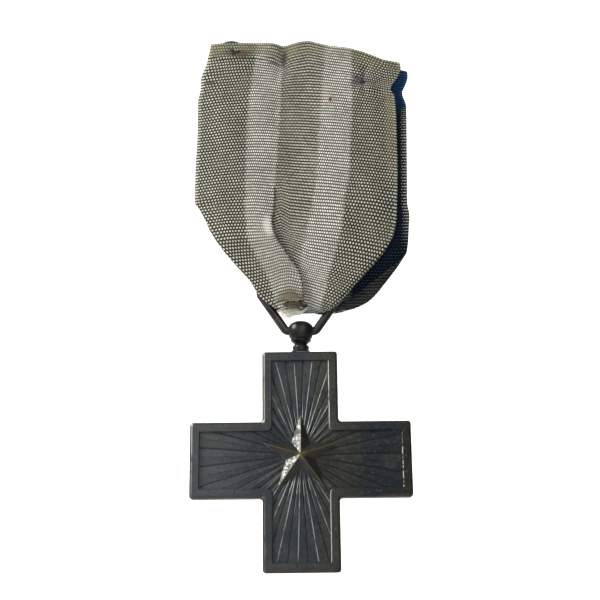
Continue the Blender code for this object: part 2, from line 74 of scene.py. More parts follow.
# Area lights: name, place, size, power, colour, what they point at (None is the medal)
LIGHTS = (
    ("key", (-0.55, -0.25, 0.31), (0.24, 0.24), 10.0, (1.0, 0.985, 0.96), None),
    ("fill", (0.10, -0.75, 0.10), (0.6, 0.6), 3.0, (0.96, 0.98, 1.0), None),
    ("backdrop_right", (0.34, 0.12, 0.05), (0.3, 0.5), 1.6, (1.0, 1.0, 1.0), (0.20, 0.55, 0.05)),
    ("backdrop_left", (-1.0, 0.10, 0.15), (1.0, 1.0), 5.0, (1.0, 1.0, 1.0), (-1.0, 0.55, 0.10)),
)
# The soft light all round grows along an axis: axis, from, to, strength at each
SURROUND = (("X", -1.0, 1.0, 1.0, 0.42), ("Y", 0.15, -0.25, 1.0, 6.0))


def add_object(name, data):
    obj = bpy.data.objects.new(name, data)
    bpy.context.collection.objects.link(obj)
    return obj


def build_camera():
    camera = bpy.data.cameras.new("camera")
    camera.lens = CAMERA_LENS
    camera.sensor_width = 36.0
    camera.clip_start = 0.01
    camera.clip_end = 20.0
    obj = add_object("camera", camera)
    away = Vector((0.0, -cos(CAMERA_TILT), -sin(CAMERA_TILT)))
    obj.location = CAMERA_AIM + away * CAMERA_DISTANCE
    obj.rotation_euler = (-away).to_track_quat("-Z", "Y").to_euler()
    bpy.context.scene.camera = obj


def build_lights():
    for name, place, size, power, colour, aim in LIGHTS:
        light = bpy.data.lights.new(name, "AREA")
        light.shape = "RECTANGLE"
        light.size, light.size_y = size
        light.energy = power
        light.color = colour
        obj = add_object(name, light)
        obj.location = place
        obj.rotation_euler = (Vector(aim or CAMERA_AIM) - Vector(place)).to_track_quat("-Z", "Y").to_euler()
    world = bpy.data.worlds.new("studio")
    bpy.context.scene.world = world
    world.use_nodes = True
    nodes = world.node_tree.nodes
    links = world.node_tree.links
    split = nodes.new("ShaderNodeSeparateXYZ")
    links.new(nodes.new("ShaderNodeTexCoord").outputs["Generated"], split.inputs[0])
    strength = nodes.new("ShaderNodeMath")
    strength.operation = "MULTIPLY"
    for (axis, *values), factor in zip(SURROUND, strength.inputs):
        ramp = nodes.new("ShaderNodeMapRange")
        for value, name in zip(values, ("From Min", "From Max", "To Min", "To Max")):
            ramp.inputs[name].default_value = value
        links.new(split.outputs[axis], ramp.inputs["Value"])
        links.new(ramp.outputs[0], factor)
    links.new(strength.outputs[0], nodes["Background"].inputs["Strength"])


def build_floor():
    """A pale sweep: floor far below the medal, rising to a wall far behind it."""
    depth, drop, bend, half, steps = 0.55, 0.40, 0.25, 3.0, 16
    profile = [(-half, -drop)]
    for angle in (pi / 2 * step / steps for step in range(steps + 1)):
        profile.append((depth - bend + bend * sin(angle), -drop + bend - bend * cos(angle)))
    profile.append((depth, half))
    bm = bmesh.new()
    edges = [(bm.verts.new((-half, y, z)), bm.verts.new((half, y, z))) for y, z in profile]
    for (left, right), (next_left, next_right) in zip(edges, edges[1:]):
        bm.faces.new((left, next_left, next_right, right))
    paper = bpy.data.materials.new("paper")
    paper.use_nodes = True
    shader = paper.node_tree.nodes["Principled BSDF"]
    shader.inputs["Base Color"].default_value = (0.93, 0.93, 0.93, 1.0)
    shader.inputs["Roughness"].default_value = 0.95
    object_from(bm, "floor", paper)


def object_from(bm, name, material):
    """A smooth object of a finished bmesh."""
    bmesh.ops.recalc_face_normals(bm, faces=bm.faces)
    mesh = bpy.data.meshes.new(name)
    bm.to_mesh(mesh)
    bm.free()
    mesh.shade_smooth()
    mesh.materials.append(material)
    return add_object(name, mesh)


# ---- node helpers ------------------------------------------------------------------------------

class Nodes:
    """Short ways to lay out a material's nodes."""

    def __init__(self, name):
        self.material = bpy.data.materials.new(name)
        self.material.use_nodes = True
        self.tree = self.material.node_tree
        self.shader = self.tree.nodes["Principled BSDF"]

    def add(self, kind, **values):
        node = self.tree.nodes.new("ShaderNode" + kind)
        for key, value in values.items():
            setattr(node, key, value)
        return node

    def plug(self, value, socket):
        if hasattr(value, "is_output"):
            self.tree.links.new(value, socket)
        elif value is not None:
            socket.default_value = value

    def math(self, operation, *values):
        node = self.add("Math", operation=operation)
        for value, socket in zip(values, node.inputs):
            self.plug(value, socket)
        return node.outputs[0]

    plus = partialmethod(math, "ADD")
    minus = partialmethod(math, "SUBTRACT")
    over = partialmethod(math, "DIVIDE")
    scaled = partialmethod(math, "MULTIPLY_ADD")
    most = partialmethod(math, "MAXIMUM")
    cosine = partialmethod(math, "COSINE")
    size = partialmethod(math, "ABSOLUTE")

    def times(self, first, *others):
        for other in others:
            first = self.math("MULTIPLY", first, other)
        return first

    def length(self, a, b):
        return self.math("SQRT", self.plus(self.times(a, a), self.times(b, b)))

    def layers(self, colour, *layers):
        """A colour under layers of (share, colour)."""
        for share, tint in layers:
            colour = self.mix(share, colour, tint)
        return colour

    def split(self, vector):
        """The three parts of a vector."""
        node = self.add("SeparateXYZ")
        self.plug(vector, node.inputs[0])
        return node.outputs

    def mix(self, share, a, b):
        node = self.add("Mix", data_type="RGBA")
        self.plug(share, node.inputs["Factor"])
        self.plug(self.colour(a), node.inputs["A"])
        self.plug(self.colour(b), node.inputs["B"])
        return node.outputs["Result"]

    @staticmethod
    def colour(value):
        if hasattr(value, "is_output") or len(value) == 4:
            return value
        return (*value, 1.0)

    def grey(self, value):
        node = self.add("CombineColor")
        for socket in node.inputs[:3]:
            self.plug(value, socket)
        return node.outputs[0]

    def step(self, value, low, high, to_low=0.0, to_high=1.0):
        """A smooth change from to_low to to_high as value goes from low to high."""
        node = self.add("MapRange", interpolation_type="SMOOTHSTEP")
        for item, name in zip((value, low, high, to_low, to_high),
                              ("Value", "From Min", "From Max", "To Min", "To Max")):
            self.plug(item, node.inputs[name])
        return node.outputs["Result"]

    def noise(self, vector, scale, detail=3.0, roughness=0.55):
        node = self.add("TexNoise")
        for item, name in zip((vector, scale, detail, roughness), ("Vector", "Scale", "Detail", "Roughness")):
            self.plug(item, node.inputs[name])
        return node.outputs["Fac"]

    def bump(self, height, strength, distance):
        node = self.add("Bump")
        for item, name in zip((height, strength, distance), ("Height", "Strength", "Distance")):
            self.plug(item, node.inputs[name])
        return node.outputs["Normal"]

    def place(self):
        return self.add("TexCoord").outputs["Object"]

    def finish(self, inputs):
        """The material, with a value or a node's output in each named input of its shader."""
        for name, value in inputs.items():
            self.plug(value, self.shader.inputs[name])
        return self.material


# ---- ribbon: lie of the cloth ------------------------------------------------------------------

RIB_PITCH = 0.565                    # millimetres along the ribbon
RIB_ROWS = 5                         # mesh rows in one rib
RIB_RELIEF = 0.075
UPPER_RIBS, LOOP_RIBS, REAR_RIBS = 38, 113, 36   # ribs in each of the ribbon's three pieces
CLOTH_THICKNESS = 0.26
LEFT_SELVEDGE = -18.9                # across the ribbon, millimetres
RIGHT_SELVEDGE = 18.5
COLUMN_PITCH = 0.30
LEAF_TOP = 47.65                     # height of the sewn top above the bar, millimetres
PLEAT_AT = -3.7                      # where the pleat's top fold lies across the ribbon
STRIPES = (-9.4, -3.7, 3.2, 9.0)     # edges of the two pale stripes across the ribbon


def smooth_curve(points, at):
    """A smooth line through (height, value) points that run downwards."""
    heights = np.array([point[0] for point in points][::-1], float)
    values = np.array([point[1] for point in points][::-1], float)
    slopes = np.diff(values) / np.diff(heights)
    tangents = np.empty_like(values)
    tangents[0], tangents[-1] = slopes[0], slopes[-1]
    same = slopes[:-1] * slopes[1:] > 0
    tangents[1:-1] = np.where(same, 2 * slopes[:-1] * slopes[1:] / (slopes[:-1] + slopes[1:] + 1e-12), 0.0)
    at = np.clip(at, heights[0], heights[-1])
    index = np.clip(np.searchsorted(heights, at) - 1, 0, len(slopes) - 1)
    width = heights[index + 1] - heights[index]
    t = (at - heights[index]) / width
    low, high = values[index], values[index + 1]
    rise_low, rise_high = width * tangents[index], width * tangents[index + 1]
    return ((2 * t ** 3 - 3 * t ** 2 + 1) * low + (t ** 3 - 2 * t ** 2 + t) * rise_low
            + (3 * t ** 2 - 2 * t ** 3) * high + (t ** 3 - t ** 2) * rise_high)


def smooth_step(value, low, high):
    t = np.clip((value - low) / (high - low), 0.0, 1.0)
    return t * t * (3 - 2 * t)


def bell(distance, width):
    return np.exp(-(distance / width) ** 2)


# Front leaf: height above the bar, then x, millimetres
FRONT_LEFT = [
    (47.4, -17.0), (43.7, -17.75), (40.4, -18.75), (38.3, -18.8), (35.9, -19.2), (28.7, -19.1),
    (21.6, -19.3), (15.8, -19.25), (14.6, -18.4), (12.3, -17.2), (10.1, -16.2), (6.7, -14.0), (2.9, -10.8),
    (0.8, -9.0), (-2.05, -7.2), (-3.4, -5.5), (-4.4, -4.0), (-5.0, -2.4)]
FRONT_RIGHT = [
    (44.5, 18.6), (42.9, 18.9), (41.0, 18.2), (38.5, 16.9), (37.0, 17.6), (32.1, 17.8), (25.9, 17.8),
    (13.3, 17.4), (9.5, 16.6), (6.7, 15.1), (3.3, 12.3), (-0.8, 8.7), (-3.1, 6.8), (-3.9, 5.6), (-4.6, 4.6),
    (-5.0, 3.0)]
# Where the stripe edges and the pleat run
STRIPE_1_LEFT = [
    (47.4, -8.4), (44.1, -8.6), (36.0, -9.6), (25.9, -9.9), (16.2, -10.0), (9.0, -9.5), (5.0, -7.7),
    (1.0, -5.6), (-5.0, -4.0)]
PLEAT_LINE = [
    (47.4, -3.0), (42.4, -3.5), (31.5, -4.0), (20.0, -4.7), (16.2, -4.8), (11.5, -5.3), (8.9, -4.7),
    (6.3, -3.2), (4.2, -1.75), (2.3, -0.5), (0.7, 0.0), (-1.1, 0.2), (-5.0, 0.3)]
STRIPE_2_LEFT = [
    (47.4, 4.5), (44.1, 4.3), (36.0, 3.8), (25.9, 3.1), (20.9, 2.9), (16.2, 2.0), (10.5, 1.0), (6.7, 0.2),
    (2.9, -0.3), (0.5, 0.0), (-5.0, 0.3)]
STRIPE_2_RIGHT = [
    (47.4, 9.5), (36.0, 9.5), (25.9, 9.0), (20.9, 8.8), (16.2, 7.9), (10.5, 7.2), (6.7, 6.3), (2.9, 5.1),
    (-0.8, 4.3), (-5.0, 3.2)]
# Cloth that the pleat hides
PLEAT_HIDDEN = [
    (47.4, 0.0), (20.0, 0.0), (16.2, 0.3), (10.5, 0.9), (6.7, 3.3), (2.9, 6.4), (0.0, 6.9), (-5.0, 6.9)]
# Rear leaf
REAR_LEFT = [
    (47.0, -16.6), (40.0, -17.2), (16.0, -17.2), (7.0, -13.2), (1.2, -8.6), (-2.0, -6.2), (-4.4, -3.6),
    (-5.0, -1.8)]
REAR_RIGHT = [
    (47.0, 19.2), (46.3, 20.3), (45.4, 20.3), (43.2, 19.8), (41.0, 19.2), (37.0, 19.9), (26.0, 19.8),
    (16.9, 19.65), (13.0, 20.05), (9.6, 20.0), (7.3, 19.35), (5.0, 17.95), (1.65, 15.5), (-1.7, 12.7),
    (-2.8, 11.1), (-3.9, 8.2), (-4.5, 5.2), (-5.0, 3.2)]
REAR_TOP_STATIONS = [
    -19.0, -16.6, -15.2, -14.2, -13.2, -12.2, -11.2, -9.8, -8.0, 0.0, 6.0, 10.0, 15.0, 19.0, 20.5]
REAR_TOP_LIFT = [
    0.0, 0.7, 2.0, 2.6, 2.75, 2.6, 2.0, 0.7, 0.0, 0.0, -0.8, -1.8, -3.0, -3.4, -3.7]
# Height above the bar, then the depth behind the ring's plane
FRONT_DEPTH = [
    (48.0, -1.05), (42.0, -1.15), (36.0, -1.35), (24.0, -1.75), (12.0, -1.95), (4.0, -1.8), (0.0, -1.7),
    (-3.0, -1.5), (-5.0, -1.15)]
VALLEY_DEPTH = [
    (48.0, 0.75), (43.0, 0.65), (38.0, 0.25), (14.0, 0.2), (10.0, 0.0), (-5.0, 0.0)]
REAR_DEPTH = [
    (48.0, 0.82), (40.0, 0.86), (36.0, 1.05), (24.0, 1.25), (12.0, 1.35), (4.0, 1.45), (0.0, 1.45),
    (-3.0, 1.35), (-5.0, 1.05)]
CURVES_END = -5.0                    # the lowest height of all these curves
CORNERS_FOLD = 16.5                  # below this height the leaves' lower corners are folded under
RIGHT_FOLD = 13.0
FLAT_RADIUS = 0.03                   # of a selvedge that is not folded
TUCK_SHARE = 0.3                     # of the leaf's width that folded cloth may take up behind it
PLEAT_RADIUS = 0.24

STITCH_LEFT = (-12.95, 45.7)         # x and height of the two stitches
STITCH_RIGHT = (11.44, 39.95)
LOOP_HEIGHT = -4.0                   # where the front leaf starts to turn under the bar
LOOP_SAG = 0.60                      # how much lower the turn's bottom lies
TURN_LENGTH = 3.4                    # cloth used by the turn
TURN_CENTRE = 0.3                    # x about which the turn narrows, and by what share
TURN_NARROWING = 0.10
ASKEW_FROM, ASKEW_TO = 8.0, 26.0     # past the fold the ribs go straight again between these lengths
REAR_TOP = 46.7
WORN_AT = (-1.0, -3.62)              # x and height of the hole worn through the loop, and half its size
WORN_SIZE = (2.0, 0.72)

# How the ribs rise and fall across the front leaf: height of the row, then the lift at each x of RIB_STATIONS
RIB_STATIONS = [-19.0, -13.0, -8.5, -5.0, -3.6, -2.0, 1.5, 5.5, 9.0, 11.5, 15.5, 19.0]
RIB_LIFT = [
    (47.6, [0.05, 0.0, -0.05, 0.0, -0.15, 0.2, 0.7, -0.35, -0.85, -1.5, -3.1, -3.6]),
    (44.0, [-0.2, 0.1, 0.2, -0.3, -0.9, -0.1, 0.5, -0.3, -0.8, -1.5, -2.9, -3.3]),
    (40.0, [-0.6, -0.1, 0.25, 0.0, -0.3, -0.1, 0.1, -0.3, -0.7, -1.2, -1.9, -2.3]),
    (34.0, [-0.7, -0.15, 0.2, 0.1, 0.0, -0.1, -0.3, -0.6, -0.9, -1.1, -1.4, -1.7]),
    (22.0, [-0.7, -0.15, 0.2, 0.1, 0.0, -0.2, -0.5, -0.9, -1.3, -1.5, -1.9, -2.2]),
    (12.0, [-0.6, -0.1, 0.0, -0.3, 0.3, -0.7, -1.2, -1.6, -2.1, -2.5, -3.3, -3.9]),
    (6.0, [-1.2, -0.6, -0.3, 0.3, 0.7, 0.6, -1.1, -2.0, -2.9, -3.5, -4.6, -5.2]),
    (0.0, [-1.4, -1.1, -0.6, 0.3, 0.8, 1.1, 0.2, -1.2, -2.8, -3.6, -4.9, -5.4]),
    (-5.0, [-1.2, -0.9, -0.5, 0.2, 0.7, 1.1, 0.6, -1.0, -2.6, -3.4, -4.6, -5.0]),
]


def rib_lift(x, height):
    """How far the rib at a place is above its own row's level."""
    rows = np.array([np.interp(x, RIB_STATIONS, lifts) for _, lifts in RIB_LIFT])
    levels = np.array([level for level, _ in RIB_LIFT])
    position = np.interp(-height, -levels, np.arange(len(levels)))
    low = np.clip(np.floor(position).astype(int), 0, len(levels) - 2)
    share = position - low
    share = share * share * (3 - 2 * share)
    columns = np.arange(x.size).reshape(x.shape)
    flat = rows.reshape(len(levels), -1)
    below = flat[low.ravel(), columns.ravel()].reshape(x.shape)
    above = flat[low.ravel() + 1, columns.ravel()].reshape(x.shape)
    return below + (above - below) * share


def roll_under(x, depth, edge, side, radius, room):
    """Cloth past a fold line turns round it and lies behind. side is -1 at a left edge, 1 at a right one."""
    past = side * (x - edge) + radius
    arc = np.clip(past / radius, 0.0, pi)
    beyond = np.maximum(past - pi * radius, 0.0)
    tucked = room * (1 - np.exp(-beyond / room))
    rolled = edge - side * (radius - radius * np.sin(arc)) - side * tucked
    turned = past > 0
    return np.where(turned, rolled, x), np.where(turned, depth + radius * (1 - np.cos(arc)), depth)


def front_leaf(across, height):
    """x and depth of points of the front leaf. Depth grows to the rear; 0 is the ring's plane."""
    left, right, stripe_1, pleat, stripe_2, stripe_2_end, hidden = (
        smooth_curve(curve, height) for curve in (FRONT_LEFT, FRONT_RIGHT, STRIPE_1_LEFT, PLEAT_LINE,
                                                  STRIPE_2_LEFT, STRIPE_2_RIGHT, PLEAT_HIDDEN))
    folded_left = smooth_step(CORNERS_FOLD - height, 0.0, 1.5)
    folded_right = smooth_step(RIGHT_FOLD - height, 0.0, 6.0)
    outer_left = np.where(height > CORNERS_FOLD - 0.5, left, stripe_1 + LEFT_SELVEDGE - STRIPES[0])
    outer_left = left + (outer_left - left) * folded_left
    outer_right = right + (stripe_2_end + RIGHT_SELVEDGE - STRIPES[3] - right) * folded_right

    # x runs evenly between the selvedges, the stripes' edges and the pleat
    emerge = PLEAT_AT + hidden
    centre = np.clip((across - emerge) / np.maximum(STRIPES[2] - emerge, 0.3), 0.0, 1.0)
    x = outer_left + (stripe_1 - outer_left) * (across - LEFT_SELVEDGE) / (STRIPES[0] - LEFT_SELVEDGE)
    spans = ((STRIPES[0], PLEAT_AT, stripe_1, pleat), (PLEAT_AT, None, pleat, stripe_2),
             (STRIPES[2], STRIPES[3], stripe_2, stripe_2_end),
             (STRIPES[3], RIGHT_SELVEDGE, stripe_2_end, outer_right))
    for start, end, x_start, x_end in spans:
        share = centre if end is None else (across - start) / (end - start)
        x = np.where(across > start, x_start + (x_end - x_start) * share, x)

    # the pleat: down over its top fold, back under it, and out again behind
    fold_radius = np.minimum(PLEAT_RADIUS, hidden / (2 * pi) * 0.9)
    inside = np.clip(across - PLEAT_AT, 0.0, hidden)
    run = np.maximum(hidden - 2 * pi * fold_radius, 0.0) / 2
    first = np.clip(inside / np.maximum(fold_radius, 1e-6), 0.0, pi)
    back = np.clip(inside - pi * fold_radius, 0.0, run)
    second = np.clip((inside - pi * fold_radius - run) / np.maximum(fold_radius, 1e-6), 0.0, pi)
    forth = np.clip(inside - 2 * pi * fold_radius - run, 0.0, run)
    in_pleat = (across > PLEAT_AT) & (across < emerge)
    x_pleat = pleat + fold_radius * (np.sin(first) - np.sin(second)) - back + forth
    x = np.where(in_pleat, x_pleat, x)
    step_back = fold_radius * (1 - np.cos(first)) + fold_radius * (1 - np.cos(second))
    total = 4 * fold_radius
    depth = np.where(across <= PLEAT_AT, -total * bell(x - pleat, 8.0), -total + step_back)
    depth = np.where(across >= emerge, 0.0, depth)

    depth = depth + front_depth(x, height)
    room = TUCK_SHARE * (right - left)
    x, depth = roll_under(x, depth, left, -1, FLAT_RADIUS + 0.35 * folded_left, room)
    right_radius = FLAT_RADIUS + 0.60 * smooth_step(RIGHT_FOLD - 1.0 - height, 0.0, 10.0)
    return roll_under(x, depth, right, 1, right_radius, room)


def front_depth(x, height):
    """The cushioned lie of the front leaf in front of the ring's plane."""
    depth = smooth_curve(FRONT_DEPTH, height)
    # belly each side of the pleat and the valley between
    valley = bell(x - smooth_curve(PLEAT_LINE, height), 1.6)
    depth = depth + valley * smooth_curve(VALLEY_DEPTH, height)
    depth = depth + 0.7 * smooth_step(np.abs(x + 0.5), 13.0, 19.5) * smooth_step(height, -2.0, 12.0)
    depth = depth - 0.22 * bell(x + 11.0, 4.5) * smooth_step(height, 4.0, 16.0)
    depth = depth - 0.30 * bell(x - 6.5, 5.0) * smooth_step(44.0 - height, 0.0, 14.0)
    # the puckers that the right stitch pulls
    dx = x - STITCH_RIGHT[0]
    dz = height - STITCH_RIGHT[1]
    away = np.hypot(dx, dz)
    angle = np.arctan2(dz, dx)
    depth = depth + 0.60 * bell(away, 1.3)
    folds = np.cos(5 * angle + 0.4) + 0.6 * np.cos(8 * angle + 2.0) * np.cos(angle - 0.3)
    depth = depth + 0.13 * folds * bell(away - 1.9, 1.6)
    # small dimple of the left stitch
    depth = depth + 0.30 * bell(np.hypot(x - STITCH_LEFT[0], height - STITCH_LEFT[1]), 1.3)
    # the hem at the top is folded double and stands proud
    depth = depth - 0.24 * smooth_step(height - 0.15 * np.sin(x), 44.2, 44.7) * smooth_step(-x, 3.0, 4.5)
    # gentle waves of old cloth
    return depth + 0.06 * np.sin(x * 0.9 + height * 0.35) + 0.05 * np.sin(height * 0.55 - x * 0.4 + 1.0)


def rear_leaf(across, row_height):
    """x, height and depth of points of the rear leaf, which lies behind the ring's plane."""
    left = smooth_curve(REAR_LEFT, row_height)
    right = smooth_curve(REAR_RIGHT, row_height)
    folded = smooth_step(CORNERS_FOLD - row_height, 0.0, 6.0)
    flat = across + 1.1 * smooth_step(row_height, 0.0, 12.0)
    share = (across - LEFT_SELVEDGE) / (RIGHT_SELVEDGE - LEFT_SELVEDGE)
    x = (left + (right - left) * share) * (1 - folded) + flat * folded
    at_top = smooth_step(row_height, 30.0, REAR_TOP)
    height = row_height + at_top * np.interp(x, REAR_TOP_STATIONS, REAR_TOP_LIFT)
    depth = smooth_curve(REAR_DEPTH, row_height)
    depth = depth + 0.07 * np.sin(x * 0.7 - height * 0.3) + 0.06 * np.sin(height * 0.5 + x * 0.35)
    radius, room = FLAT_RADIUS + 0.35 * folded, TUCK_SHARE * (right - left)
    for edge, side in ((left, -1), (right, 1)):
        x, turned = roll_under(x, -depth, edge, side, radius, room)
        depth = -turned
    return x, height, depth


SPOT_PITCH = 0.555                   # between light spots along a rib
PALE_SPOT_PITCH = 0.40
STRIPE_BLUR = 0.42                   # half the width over which a stripe's edge changes
# Marks on the cloth: centre and size (across, along the ribbon in millimetres), colour, strength. Most are
# stains and wear; three are painted light: two painted shadows and a painted highlight
STAINS_AND_PAINTED_LIGHT = (
    ((-13.3, 2.2), (6.2, 0.60), (0.058, 0.040, 0.015), 0.78),
    ((-12.4, 2.6), (2.6, 1.6), (0.055, 0.032, 0.024), 0.70),
    ((-6.3, 38.6), (2.0, 4.2), (0.36, 0.28, 0.20), 0.15),
    ((-6.8, 44.0), (5.0, 9.0), (0.12, 0.115, 0.09), 0.38),
    ((17.0, 14.0), (1.5, 14.0), (0.26, 0.21, 0.12), 0.30),
    ((-12.9, 2.0), (0.7, 0.6), (0.012, 0.006, 0.004), 0.95),
    # painted highlight: a pale sheen on the ribs of the pleat's flap
    ((-4.7, 36.6), (1.5, 2.8), (0.88, 0.87, 0.80), 0.28),
    ((4.9, 11.2), (1.0, 1.1), (0.30, 0.20, 0.13), 0.40),
    ((4.9, 11.2), (0.42, 0.72), (0.040, 0.009, 0.003), 1.0),
    # painted shadow under the folded hem
    ((-5.5, 3.6), (2.2, 0.35), (0.04, 0.036, 0.022), 0.80),
    # painted shadow at the top of the pleat's crease
    ((-3.6, 2.5), (0.8, 1.9), (0.025, 0.030, 0.040), 0.85),
    ((-17.0, 7.6), (1.6, 0.35), (0.025, 0.023, 0.016), 0.7),
    ((12.2, 6.3), (3.4, 2.0), (0.045, 0.050, 0.058), 0.45),
    ((11.4, 6.6), (0.85, 0.85), (0.010, 0.012, 0.018), 0.92),
    ((10.2, 5.6), (0.65, 0.5), (0.016, 0.020, 0.032), 0.80),
    ((-6.0, 50.9), (4.2, 2.5), (0.070, 0.060, 0.036), 0.80),
    ((-11.0, 58.0), (11.0, 5.5), (0.075, 0.062, 0.042), 0.95),
)


def build_cloth_grid():
    """The whole ribbon as one grid of points, with its across and along coordinates in millimetres."""
    across = np.arange(LEFT_SELVEDGE, RIGHT_SELVEDGE + COLUMN_PITCH / 2, COLUMN_PITCH)
    # closer together where the pleat folds
    folds = [PLEAT_AT + np.linspace(start, end, 14) for start, end in ((0.0, 1.5), (5.2, 7.0))]
    across = np.unique(np.round(np.concatenate([across, *folds]), 3))
    length = LEAF_TOP - LOOP_HEIGHT + TURN_LENGTH + REAR_TOP - LOOP_HEIGHT
    along = np.arange(0.0, length, RIB_PITCH / RIB_ROWS)
    wide, level = np.meshgrid(across, LEAF_TOP - along)
    # the ribs slide along the ribbon's path, so they run askew where the front leaf is pulled in
    height = level.copy()
    fade = 1 - smooth_step(-level, ASKEW_FROM, ASKEW_TO)
    for _ in range(3):
        x, _ = front_leaf(wide, np.maximum(height, CURVES_END))
        height = level + rib_lift(x, np.maximum(level, CURVES_END)) * fade
    before = np.maximum(height, LOOP_HEIGHT)
    front_x, near_depth = front_leaf(wide, before)
    past = LOOP_HEIGHT - height
    rear_height = LOOP_HEIGHT + np.maximum(past - TURN_LENGTH, 0.0)
    rear_x, rear_level, rear_depth = rear_leaf(wide, np.minimum(rear_height, REAR_TOP))
    share = np.clip(past / TURN_LENGTH, 0.0, 1.0)
    mix = (1 - np.cos(pi * share)) / 2
    bulge = np.sin(pi * share)
    x = (front_x * (1 - mix) + rear_x * mix - TURN_CENTRE) * (1 - TURN_NARROWING * bulge) + TURN_CENTRE
    z = before * (1 - mix) + rear_level * mix - LOOP_SAG * bulge
    depth = near_depth * (1 - mix) + rear_depth * mix
    return across, along, np.stack([x, z, depth], axis=-1)


def grid_normals(points):
    by_row = np.gradient(points, axis=0)
    by_column = np.gradient(points, axis=1)
    normal = np.cross(by_column, by_row)
    return normal / np.maximum(np.linalg.norm(normal, axis=2, keepdims=True), 1e-9)


def to_world(points):
    """Cloth millimetres to the frame's metres."""
    return points[..., [0, 2, 1]] * MM + np.array([0.0, PLANE_Y, BAR_AT.z])


def mesh_from_grid(name, world, across, along, keep=None):
    """A grid of points as a mesh with a UV map of its across and along coordinates in millimetres."""
    rows, columns = world.shape[:2]
    index = np.arange(rows * columns).reshape(rows, columns)
    quads = np.stack([index[:-1, :-1], index[1:, :-1], index[1:, 1:], index[:-1, 1:]], axis=-1).reshape(-1, 4)
    if keep is not None:
        quads = quads[keep[:-1, :-1].ravel()]
    mesh = bpy.data.meshes.new(name)
    mesh.from_pydata(world.reshape(-1, 3).tolist(), [], quads.tolist())
    uv = mesh.uv_layers.new(name="cloth")
    loops = np.empty(len(mesh.loops), int)
    mesh.loops.foreach_get("vertex_index", loops)
    coordinates = np.stack([across[loops % columns], along[loops // columns]], axis=-1)
    uv.data.foreach_set("uv", coordinates.ravel())
    mesh.shade_smooth()
    return add_object(name, mesh)


def build_ribbon(face, lining):
    across, along, grid = build_cloth_grid()
    normal = grid_normals(grid)
    phase = (along / RIB_PITCH) % 1.0
    relief = RIB_RELIEF * np.sqrt(np.abs(np.sin(pi * phase)))
    edge = np.minimum(across - LEFT_SELVEDGE, RIGHT_SELVEDGE - across)
    strength = 0.35 + 0.65 * smooth_step(edge, 0.0, 0.9)
    grid = grid + normal * (relief[:, None] * strength[None, :])[..., None]
    world = to_world(grid)
    total = len(along)
    cut_front = RIB_ROWS * UPPER_RIBS
    cut_rear = total - RIB_ROWS * REAR_RIBS
    pieces = []
    for name, start, end in (("ribbon_front_upper", 0, cut_front), ("ribbon_loop", cut_front, cut_rear),
                             ("ribbon_rear_upper", cut_rear, total - 1)):
        part = slice(start, end + 1)
        keep = ~worn_hole(grid[part]) if name == "ribbon_loop" else None
        obj = mesh_from_grid(name, world[part], across, along[part], keep)
        obj.data.materials.append(face)
        obj.data.materials.append(lining)
        solid = obj.modifiers.new("thickness", "SOLIDIFY")
        solid.thickness = CLOTH_THICKNESS * MM
        solid.offset = -1.0
        solid.material_offset = 1
        solid.material_offset_rim = 0
        pieces.append(obj)
    return pieces


def worn_hole(points):
    """True where the front of the loop is worn through."""
    x, height, depth = np.moveaxis(points, -1, 0)
    ragged = 0.35 * np.sin(x * 5.3) + 0.25 * np.sin(x * 11.0 + 1.0) + 0.2 * np.sin(height * 9.0)
    away = np.hypot((x - WORN_AT[0]) / WORN_SIZE[0], (height - WORN_AT[1]) / WORN_SIZE[1])
    return (away + ragged * 0.25 < 1.0) & (depth < -0.2)


# ---- ribbon: materials -------------------------------------------------------------------------

